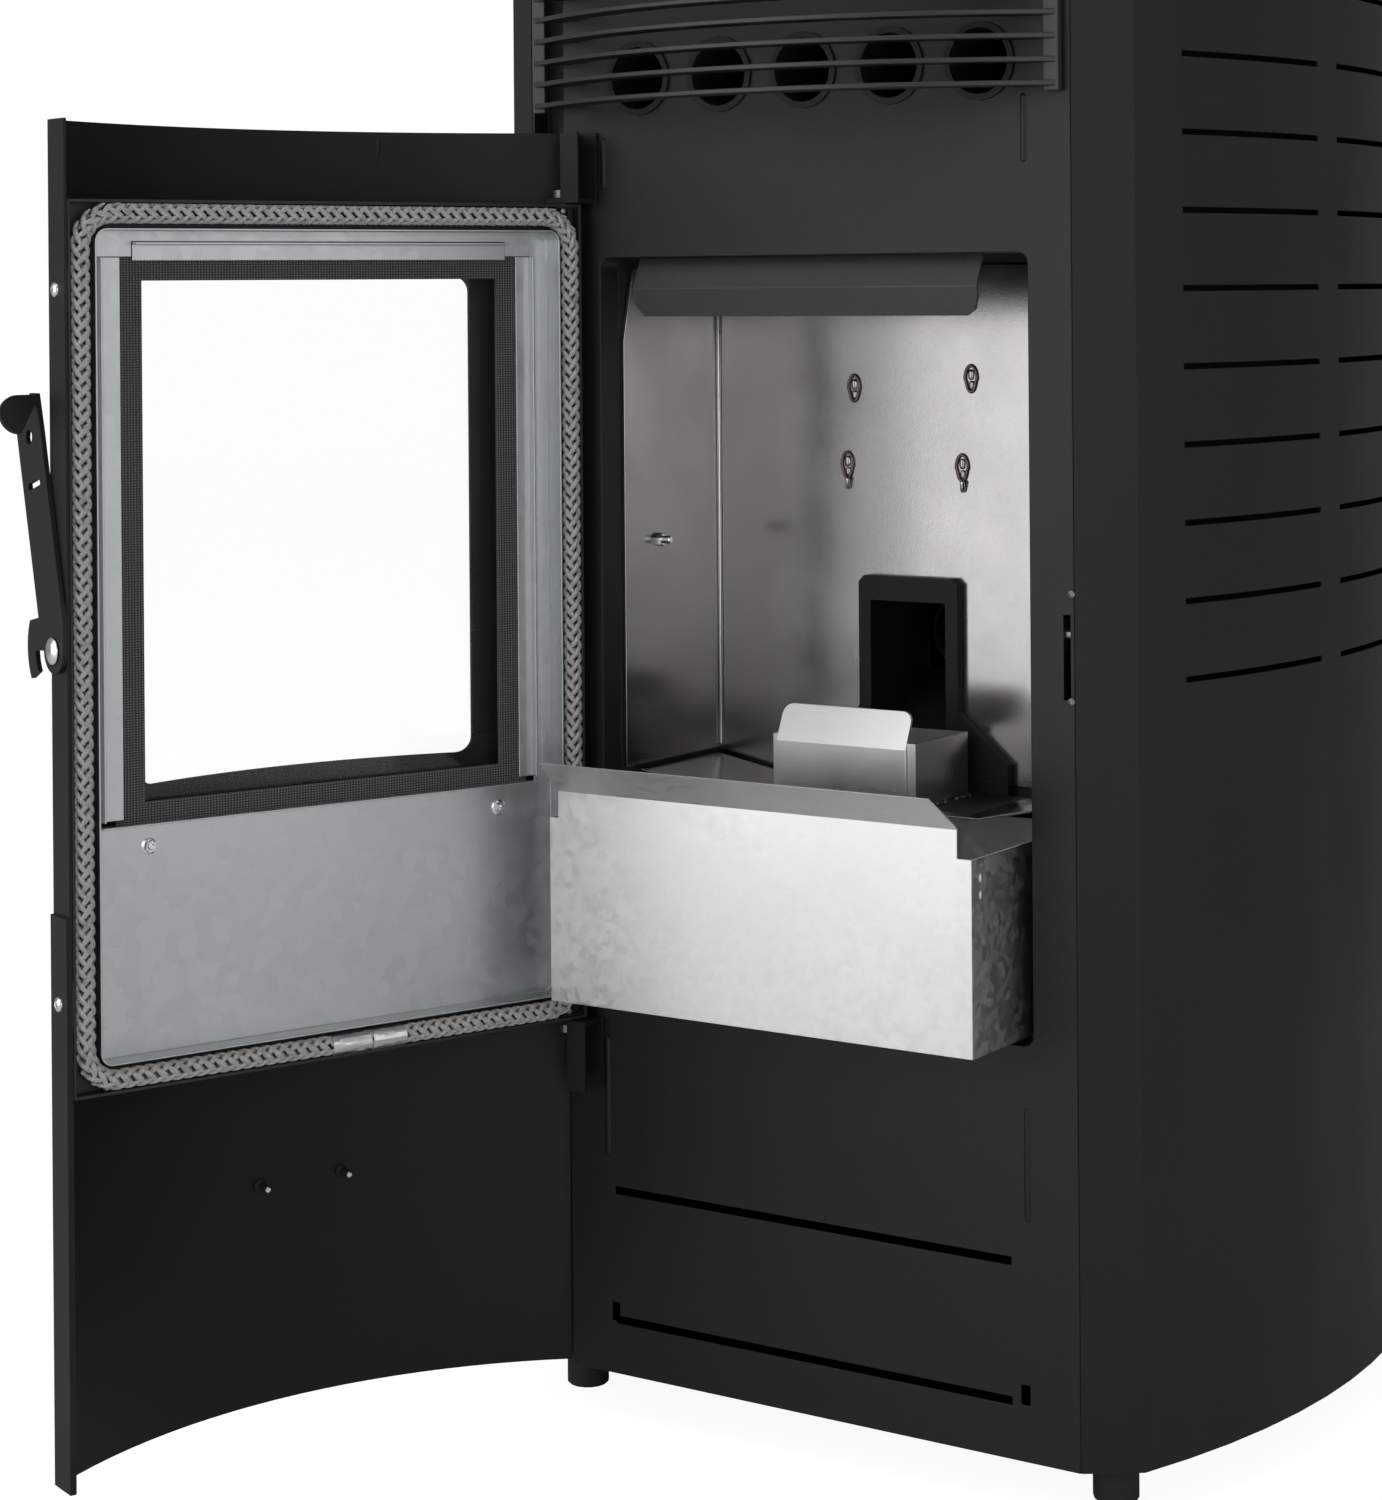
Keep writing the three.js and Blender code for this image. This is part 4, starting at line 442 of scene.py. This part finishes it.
# ---- Finished stand-ins for the CAD nodes ----
SHOWN = [
    (PAINT, "black_paint", 0.0005, [
        "side_panel_left", "side_panel_right", "rear_panel", "base_plate", "top_cover", "hopper_lid",
        "hinge_bracket_upper", "hinge_bracket_lower", "latch_lever"]),
    (PLATE, "black_paint", 0.0006, ["front_plate"]),
    (DOOR_PAINT, "black_paint", 0.0005, ["door_shell"]),
    (GRILLE_COAT_PAINTED_HIGHLIGHT, "grille_paint", 0.0005, ["front_grille"]),
    (TUBE, "black_steel", 0.0004, [f"heat_tube_{i}" for i in range(1, 6)]),
    (BAFFLE, "black_steel", 0.0004, ["flame_baffle"]),
    (CHUTE, "black_steel", 0.0005, ["chute_frame"]),
    (WEAVE, "gasket", 0.0003, ["glass_gasket"]),
    (STEEL, "black_steel", 0.0004, ["firebox_shell", "door_inner_frame", "flue_outlet", "air_intake_pipe"]),
    (LINER, "stainless", 0.0004, [
        "firebox_liner_left", "firebox_liner_right", "firebox_liner_back", "firebox_floor"]),
    (BRIGHT_SHEET, "stainless", 0.0004, ["burner_pot"]),
    (DRAWER_ZINC, "zinc", 0.0003, ["ash_drawer"]),
    (ZINC, "zinc", 0.0003, [
        "door_tray", "glass_retainer_left", "glass_retainer_right", "glass_retainer_top"]),
    (BRIGHT, "bright_steel", 0.0003, ["latch_pivot_screw"]),
    (DARK_SCREW, "bright_steel", 0.0003, ["hinge_pin_upper", "hinge_pin_lower", "latch_strike"]),
    (RUBBER, "foot_rubber", 0.0008, [
        "foot_left_front", "foot_left_rear", "foot_right_front", "foot_right_rear"]),
    (PLASTIC, "black_plastic", 0.0005, [
        "control_panel", "button_1", "button_2", "button_3", "power_inlet", "rear_switch"]),
]
FINISHED = {}
for look, slot, width, names in SHOWN:
    for name in names:
        FINISHED[name] = refined(name, look, width)

gasket = FINISHED["glass_gasket"].data
weave = gasket.uv_layers.new(name="Length")
for loop in gasket.loops:
    spot = DOOR.inverted() @ gasket.vertices[loop.vertex_index].co
    weave.data[loop.index].uv = (spot.x + spot.y, spot.z + spot.y)

LEFT_AS_CAD = {
    "igniter": BRIGHT, "door_glass": GLASS, "pellet_hopper": ZINC, "auger_tube": STEEL,
    "auger_screw": LINER, "auger_gearmotor": STEEL, "exhaust_fan_housing": STEEL,
    "exhaust_fan_wheel": LINER, "room_fan_housing": ZINC, "room_fan_drum": LINER, "smoke_chamber": STEEL,
}
for name, look in LEFT_AS_CAD.items():
    NODES[name].data.materials.clear()
    NODES[name].data.materials.append(look)


# ---- Rope seal: a round plait, repeated along its loop by a node tree ----
def loop_path(x, z, corner, y):
    """Points of a rounded rectangle in the door's own coordinates, from the lower right."""
    steps = 6
    points = []
    centres = [((x[1] - corner, z[0] + corner), -90), ((x[1] - corner, z[1] - corner), 0),
               ((x[0] + corner, z[1] - corner), 90), ((x[0] + corner, z[0] + corner), 180)]
    for (cx, cz), start in centres:
        for i in range(steps + 1):
            a = math.radians(start + 90 * i / steps)
            points.append(Vector((cx + corner * math.cos(a), y, cz + corner * math.sin(a))))
    return points


def plait_unit(radius, columns, pitch):
    """One pitch of the plait along +z, in metres: strands that lean left and right in turn."""
    sides, rings = 8, 5
    verts, faces, uvs = [], [], []
    for column in range(columns):
        a = TAU * column / columns
        out = Vector((math.cos(a), math.sin(a), 0))
        side = Vector((-math.sin(a), math.cos(a), 0))
        lean = STRAND_LEAN * (1 if column % 2 else -1)
        way = Vector((0, 0, 1)) * math.cos(lean) + side * math.sin(lean)
        across = way.cross(out)
        middle = out * (radius * 0.76) + Vector((0, 0, pitch / 2 * (column % 2)))
        start = len(verts)
        for ring in range(rings):
            t = ring / (rings - 1) * 2 - 1
            fat = math.sqrt(max(0.0, 1 - (t * 0.96) ** 2)) * 0.9 + 0.1
            for i in range(sides):
                b = TAU * i / sides
                proud = math.cos(b) * radius * 0.26 * fat - radius * 0.16 * t * t
                point = middle + way * (t * pitch * 0.78) + out * proud
                verts.append(point + across * (math.sin(b) * radius * 0.31 * fat))
                uvs.append((t * 0.5 + 0.5, i / sides))
        for ring in range(rings - 1):
            for i in range(sides):
                j = (i + 1) % sides
                row = start + ring * sides
                faces.append([row + i, row + j, row + sides + j, row + sides + i])
    return verts, faces, uvs


def curve_object(name, points):
    data = bpy.data.curves.new(name, "CURVE")
    data.dimensions = "3D"
    line = data.splines.new("POLY")
    line.points.add(len(points) - 1)
    for point, spot in zip(line.points, points):
        point.co = (*spot, 1)
    line.use_cyclic_u = True
    piece = bpy.data.objects.new(name, data)
    scene.collection.objects.link(piece)
    return piece


def repeat_along(path, unit, spacing, look):
    """Puts unit on path every spacing metres with a node tree, and returns one plain mesh."""
    tree = bpy.data.node_groups.new("Repeat along a path", "GeometryNodeTree")
    sockets = {}
    for label, kind in [("Geometry", "Geometry"), ("Spacing", "Float"), ("Unit", "Object"),
                        ("Material", "Material")]:
        socket_type = "NodeSocket" + kind
        sockets[label] = tree.interface.new_socket(name=label, in_out="INPUT", socket_type=socket_type)
    tree.interface.new_socket(name="Geometry", in_out="OUTPUT", socket_type="NodeSocketGeometry")
    nodes, links = tree.nodes, tree.links
    given = nodes.new("NodeGroupInput")
    points = nodes.new("GeometryNodeCurveToPoints")
    points.mode = "LENGTH"
    unit_in = nodes.new("GeometryNodeObjectInfo")
    instances = nodes.new("GeometryNodeInstanceOnPoints")
    real = nodes.new("GeometryNodeRealizeInstances")
    paint = nodes.new("GeometryNodeSetMaterial")
    made = nodes.new("NodeGroupOutput")
    links.new(given.outputs["Geometry"], points.inputs["Curve"])
    links.new(given.outputs["Spacing"], points.inputs["Length"])
    links.new(given.outputs["Unit"], unit_in.inputs["Object"])
    links.new(points.outputs["Points"], instances.inputs["Points"])
    links.new(points.outputs["Rotation"], instances.inputs["Rotation"])
    links.new(unit_in.outputs["Geometry"], instances.inputs["Instance"])
    links.new(instances.outputs["Instances"], real.inputs["Geometry"])
    links.new(real.outputs["Geometry"], paint.inputs["Geometry"])
    links.new(given.outputs["Material"], paint.inputs["Material"])
    links.new(paint.outputs["Geometry"], made.inputs["Geometry"])
    modifier = path.modifiers.new("Repeat", "NODES")
    modifier.node_group = tree
    modifier[sockets["Spacing"].identifier] = spacing
    modifier[sockets["Unit"].identifier] = unit
    modifier[sockets["Material"].identifier] = look
    made_piece = bpy.data.objects.new(path.name + "_made", plain_mesh(path))
    scene.collection.objects.link(made_piece)
    bpy.data.objects.remove(path)
    bpy.data.objects.remove(unit)
    return made_piece


# The plait itself is made in metres
ROPE_RADIUS = 0.006
ROPE_PITCH = 0.0078
rope_x = [x + ROPE_INSET * way for x, way in zip(ROPE_CHANNEL_X, (1, -1))]
rope_z = [ROPE_CHANNEL_Z[0] + ROPE_INSET, ROPE_CHANNEL_Z[1] - ROPE_INSET]
verts, faces, uvs = plait_unit(ROPE_RADIUS, ROPE_STRANDS, ROPE_PITCH)
unit = add("Rope unit", verts, faces, Matrix.Identity(4), True, 80)
layer = unit.data.uv_layers.new(name="Strand")
for loop in unit.data.loops:
    layer.data[loop.index].uv = uvs[loop.vertex_index]
rope_line = loop_path(rope_x, rope_z, ROPE_CORNER, ROPE_Y)
path = curve_object("Rope path", [DOOR @ point for point in rope_line])
rope = repeat_along(path, unit, ROPE_PITCH, ROPE)
rope.name = "rope_seal"
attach(rope, "door")
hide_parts("door_rope_seal")

# ---- Small parts that the CAD leaves out ----
TREES = {}


def surface(node, start, way, matrix=BODY):
    """Where a line from start along way meets a CAD node, in the same millimetres as start."""
    if node not in TREES:
        mesh = NODES[node].data
        corners = [v.co for v in mesh.vertices]
        TREES[node] = BVHTree.FromPolygons(corners, [p.vertices for p in mesh.polygons])
    aim = (matrix.to_3x3() @ Vector(way)).normalized()
    hit = TREES[node].ray_cast(matrix @ Vector(start), aim)[0]
    return matrix.inverted() @ hit


def pan_head(centre, axis, radius):
    """A domed screw head with a six-sided socket."""
    around, corners = 24, 6
    dome = [(0.02, -0.4), (radius, -0.4), (radius, radius * 0.2)]
    dome += [(radius * math.cos(a), radius * (0.2 + 0.38 * math.sin(a))) for a in (0.4, 0.8, 1.1)]
    verts, faces = lathe(centre, axis, dome, around)
    faces = faces[:-1]
    edge = (radius * 0.44, radius * 0.55)
    rim = len(verts)
    verts += lathe(centre, axis, [edge], around)[0]
    last = rim - around
    for i in range(around):
        j = (i + 1) % around
        faces.append([last + i, last + j, rim + j, rim + i])
    well = [edge, (radius * 0.42, radius * 0.5), (radius * 0.36, radius * 0.12), (0.02, radius * 0.08)]
    inner = len(verts)
    more, walls = lathe(centre, axis, well, corners)
    verts += more
    faces += [[i + inner for i in face] for face in walls[:-2]]
    faces.append([inner + (len(well) - 1) * corners + i for i in range(corners)])
    share = around // corners
    for i in range(corners):
        fan = [rim + (i * share + k) % around for k in range(share + 1)]
        faces.append(fan + [inner + (i + 1) % corners, inner + i])
    return verts, faces


def hex_nut(centre, axis, across, high, stud, proud):
    """A flanged nut on the end of its threaded stud."""
    radius = across / 2 / math.cos(math.pi / 6)
    flange = [(0.05, -0.3), (radius * 1.25, -0.3), (radius * 1.25, 0.5), (radius * 0.9, 1.3)]
    flats = [(radius * 0.9, 0.6), (radius, 1.0), (radius, high - 0.7), (radius * 0.88, high)]
    thread = [(0.05, 0.5)]
    along, i = 0.5, 0
    while along < high + proud:
        thread.append((stud * (1.0 if i % 2 else 0.86), along))
        along += 0.35
        i += 1
    thread.append((stud * 0.7, along))
    return joined([lathe(centre, axis, flange, 28), lathe(centre, axis, flats, 6),
                   lathe(centre, axis, thread, 16)])


def pill(centre, axis, half, radius, flat=None, depth=1.0, sides=12):
    """A round-ended bar; flat names the axis along which it is squashed to depth of its round."""
    profile = []
    for i in range(5):
        a = -math.pi / 2 + math.pi / 8 * i + 0.02
        profile.append((radius * math.cos(a), -half + radius * math.sin(a)))
    profile += [(r, -along) for r, along in profile[::-1]]
    verts, faces = lathe(centre, axis, profile, sides)
    if flat is not None:
        for v in verts:
            v[flat] = centre[flat] + (v[flat] - centre[flat]) * depth
    return verts, faces


def weld_bead(start, end, radius, count, flat):
    """A row of overlapping puddles from start to end, squashed along the axis flat."""
    depth, swing = 0.6, 0.25
    start, end = Vector(start), Vector(end)
    parts = []
    for i in range(count):
        t = i / max(1, count - 1)
        r = radius * (1 + swing * math.sin(i * 2.4))
        parts.append(pill(start.lerp(end, t), (0, 0, 1), r * 0.15, r, flat, depth, 10))
    return joined(parts)


def small(name, shape, look, body, matrix=BODY, sharp=40):
    verts, faces = shape
    return finish(add(name, verts, faces, matrix, True, sharp), look, body)


# Insulation sheets behind the side panels' slots, with flanges that reach the panels
for name, way in [("slot_lining_left", -1), ("slot_lining_right", 1)]:
    outline = [Vector((way * x, y, 0)) for x, y in LINING + LINING_BACK]
    verts = [v + Vector((0, 0, z)) for z in LINING_Z for v in outline]
    faces = [[i, (i + 1) % 8, 8 + (i + 1) % 8, 8 + i] for i in range(8)]
    faces += [[i, i + 1, 6 - i, 7 - i] for i in range(3)]
    faces += [[8 + i, 9 + i, 14 - i, 15 - i] for i in range(3)]
    small(name, (verts, faces), STEEL, "body")

BACK = surface("firebox_liner_back", (0, 60, 700), (0, 1, 0)).y
LEFT = surface("firebox_liner_left", (0, *LINER_STUD), (-1, 0, 0)).x
UP = (0, 0, 1)
for i, ((x, z), half) in enumerate(PLATE_RIBS):
    rib = pill((x, 0.2, z), UP, half, 2.2, 1, 0.55)
    small(f"plate_rib_{i + 1}", rib, PLATE, "body")

# Hanging points of the back liner: a keyhole with a dark heat mark, a lug in it, and two bright hook ends
for i, (x, z) in enumerate(KEYHOLES):
    rim = []
    for k in range(28):
        a = TAU * k / 28
        narrow = 3.6 if math.sin(a) < 0 else 4.4
        rim.append(Vector((x + narrow * math.cos(a), BACK - 0.5, z + 8.5 * math.sin(a))))
    path = curve_object(f"keyhole_path_{i + 1}", [BODY @ p for p in rim])
    path.data.bevel_depth = 0.0012
    path.data.bevel_resolution = 2
    ring = bpy.data.objects.new(f"keyhole_rim_{i + 1}", plain_mesh(path))
    scene.collection.objects.link(ring)
    bpy.data.objects.remove(path)
    shade(ring.data, True, 60)
    finish(ring, DARK_WELD, "body")
    lug = joined([pill((x, BACK - 0.4, z + 2.6), UP, 1.5, 2.1, 1, 0.6),
                  pill((x + 0.3, BACK - 0.4, z - 4.2), UP, 1.2, 1.7, 1, 0.6)])
    small(f"keyhole_lug_{i + 1}", lug, LINER, "body")
    if i > 1:
        hook = pill((x + 1.0, BACK - 2.2, z - 12), (0.1, -0.3, 1), 2.6, 1.6)
        small(f"keyhole_hook_{i + 1}", hook, BRIGHT, "body")

foot = (LEFT, *LINER_STUD)
nut = lathe(foot, (1, 0, 0), [(0.05, -0.5), (4.6, -0.5), (4.6, 3.2), (3.9, 4.0)], 6)
shank = lathe(foot, (1, 0, 0), [(0.05, 3.0), (2.6, 3.0), (2.6, 9.5), (2.0, 10.2)], 20)
small("liner_stud", joined([nut, shank]), BRIGHT, "body")

# A bright sheet strip along the back liner's left corner: the bend is real, its bright colour is painted
# highlight along the bent edge
corner = Vector((LEFT + 1.2, BACK - 1.2, 582))
small("liner_corner_bend", pill(corner, UP, 160, 1.5), BRIGHT_SHEET, "body")

weld_z = surface("chute_frame", (85, 100, 460), (0, 0, -1)).z + 0.3
for i, (front, back) in enumerate(POT_WELDS_Y):
    bead = weld_bead((POT_WELDS_X, front, weld_z), (POT_WELDS_X, back, weld_z), 2.0, 7, 2)
    small(f"pot_weld_{i + 1}", bead, DARK_WELD, "body")

side = surface("ash_drawer", (190, -30, 340), (-1, 0, 0)).x
for i, (y, z) in enumerate(DRAWER_SPOTS):
    spot = pill((side - 0.1, y, z), UP, 0.5, 2.4, 0, 0.28, 16)
    small(f"drawer_spot_{i + 1}", spot, DRAWER_ZINC, "drawer")

for i, (x, z) in enumerate(STRIKE_SCREWS):
    spot = surface("front_plate", (x, -20, z), (0, 1, 0))
    small(f"strike_screw_{i + 1}", pan_head(spot, (0, -1, 0), 2.4), DARK_SCREW, "body")

# On the door: edge screws, studs, nuts, the key slit and the tape on the rope's joint
OUT = (0, 1, 0)
for i, (y, z) in enumerate(EDGE_SCREWS):
    spot = surface("door_shell", (230, y, z), (-1, 0, 0), DOOR)
    small(f"edge_screw_{i + 1}", pan_head(spot, (1, 0, 0), 4.4), BRIGHT, "door", DOOR)
for i, x in enumerate(SHELL_STUDS_X):
    spot = surface("door_shell", (x, 30, SHELL_STUDS_Z), (0, -1, 0), DOOR)
    shank = [(0.05, -0.5), (4.2, -0.5), (4.2, 1.2), (2.3, 2.0)]
    shank += [(2.3 if k % 2 else 1.95, 2.2 + 0.4 * k) for k in range(22)]
    stud = lathe(spot, OUT, shank, 18)
    small(f"shell_stud_{i + 1}", stud, DOOR_PAINT, "door", DOOR)
    tip = lathe(spot + Vector((0, 10.6, 0)), OUT, [(0.05, 0), (1.9, 0), (1.9, 1.0), (1.3, 1.5)], 18)
    small(f"shell_stud_tip_{i + 1}", tip, BRIGHT, "door", DOOR)
for i, (x, z) in enumerate(TRAY_NUTS):
    spot = surface("door_tray", (x, 30, z), (0, -1, 0), DOOR)
    nut = hex_nut(spot, OUT, 7.0, 3.4, 2.0, 1.4)
    small(f"tray_nut_{i + 1}", nut, BRIGHT, "door", DOOR)
slit = surface("door_shell", (KEY_SLIT[0], 30, KEY_SLIT[1]), (0, -1, 0), DOOR)
slot_shape = joined([pill(slit + Vector((0, 0.1, 2)), UP, 3.5, 1.6, 1, 0.4),
                     pill(slit + Vector((0.6, 0.1, -5)), (0.1, 0, 1), 3.0, 0.8, 1, 0.4)])
small("key_slit", slot_shape, BLACK, "door", DOOR)


def tape_band(name, x, seed):
    """Crumpled foil wound round the rope along x."""
    rng = random.Random(seed)
    rows, sides = 9, 28
    verts, faces, centre = [], [], Vector((0, ROPE_Y, rope_z[0]))
    for row in range(rows):
        along = x[0] + (x[1] - x[0]) * row / (rows - 1) + rng.uniform(-0.5, 0.5)
        for i in range(sides):
            a = TAU * i / sides
            r = 6.15 + rng.uniform(0, 0.55)
            verts.append(Vector((along, centre.y + r * math.cos(a), centre.z + r * math.sin(a))))
    for row in range(rows - 1):
        for i in range(sides):
            j = (i + 1) % sides
            faces.append([row * sides + i, row * sides + j, (row + 1) * sides + j, (row + 1) * sides + i])
    return small(name, (verts, faces), FOIL, "door", DOOR, 12)


for name, ends, seed in TAPE_TURNS:
    tape_band(name, ends, seed)

# ---- Camera: level, with its frame shifted down as in the photograph ----
CAMERA_PLACE = (1.10184, -1.79898, 0.730)
CAMERA_TURN = math.radians(33.6)
CAMERA_ROLL = math.radians(-0.45)
LEVEL = math.radians(90)

camera = bpy.data.objects.new("Camera", bpy.data.cameras.new("Camera"))
scene.collection.objects.link(camera)
camera.matrix_world = (Matrix.Translation(CAMERA_PLACE) @ Matrix.Rotation(CAMERA_TURN, 4, "Z")
                       @ Matrix.Rotation(LEVEL, 4, "X") @ Matrix.Rotation(CAMERA_ROLL, 4, "Z"))
camera.data.sensor_fit = "HORIZONTAL"
camera.data.sensor_width = 36
camera.data.lens = 84.4
camera.data.shift_y = -0.333
camera.data.clip_start = 0.05
camera.data.clip_end = 50
scene.camera = camera
scene.view_settings.view_transform = "Standard"


# ---- Light ----
def softbox(name, place, towards, size, radiance):
    """A rectangular lamp of size metres whose face has the given radiance."""
    data = bpy.data.lights.new(name, "AREA")
    data.shape = "RECTANGLE"
    data.size, data.size_y = size
    data.energy = math.pi * size[0] * size[1] * radiance
    lamp = bpy.data.objects.new(name, data)
    lamp.location = place
    lamp.rotation_mode = "QUATERNION"
    lamp.rotation_quaternion = (Vector(towards) - Vector(place)).to_track_quat("-Z", "Y")
    lamp.visible_camera = False
    scene.collection.objects.link(lamp)


LAMPS = [
    ("Front left", (-1.45, -2.4, 1.15), (0.0, 0.0, 0.55), (3.0, 2.5), 1.6),
    ("Right", (2.6, 0.1, 0.75), (0.0, 0.0, 0.5), (1.8, 1.7), 0.75),
    ("Above", (0.2, -0.9, 2.6), (0.1, 0.0, 0.6), (2.0, 1.6), 1.0),
    ("Beside the camera", (1.9, -2.1, 1.0), (0.0, 0.0, 0.6), (1.1, 1.6), 2.1),
]
ROOM_STRENGTH = 0.28
FLOOR_GLOW = 1.3
FLOOR_GLOW_SHARE = 0.72
FLOOR_REACH = 9

for lamp_settings in LAMPS:
    softbox(*lamp_settings)

world = bpy.data.worlds.new("Studio")
scene.world = world
world.use_nodes = True
s = Shader(world.node_tree)
rays = s("ShaderNodeLightPath").outputs
seen = s.math("ADD", rays["Is Camera Ray"], rays["Is Transmission Ray"], True)
room = s("ShaderNodeBackground", {"Color": (0.95, 0.97, 1.0, 1), "Strength": ROOM_STRENGTH}).outputs[0]
white = s("ShaderNodeBackground", {"Color": (1, 1, 1, 1), "Strength": 1.0}).outputs[0]
both = s("ShaderNodeMixShader", {0: seen, 1: room, 2: white}).outputs[0]
world.node_tree.links.new(both, s("ShaderNodeOutputWorld").inputs["Surface"])


def floor_look(s):
    """A white sweep: white to the eye, with the stove's soft shadow on it."""
    place = s("ShaderNodeTexCoord").outputs["Object"]
    colour = s.mix(s.noise(place, 3.0), grey(0.8), grey(0.82))
    lit = s("ShaderNodeBsdfPrincipled", {"Base Color": colour, "Roughness": 0.9}).outputs[0]
    white = s("ShaderNodeEmission", {"Color": (1, 1, 1, 1), "Strength": FLOOR_GLOW}).outputs[0]
    rays = s("ShaderNodeLightPath").outputs
    seen = s.math("MAXIMUM", rays["Is Camera Ray"], rays["Is Transmission Ray"])
    share = s.math("MULTIPLY", seen, FLOOR_GLOW_SHARE)
    return s("ShaderNodeMixShader", {0: share, 1: lit, 2: white}).outputs[0]


corners = [(x * FLOOR_REACH, y * FLOOR_REACH, 0) for x, y in [(-1, -1), (1, -1), (1, 1), (-1, 1)]]
floor = add("Floor", corners, [[0, 1, 2, 3]], Matrix.Identity(4), False)
floor.data.materials.append(material("White floor", floor_look))
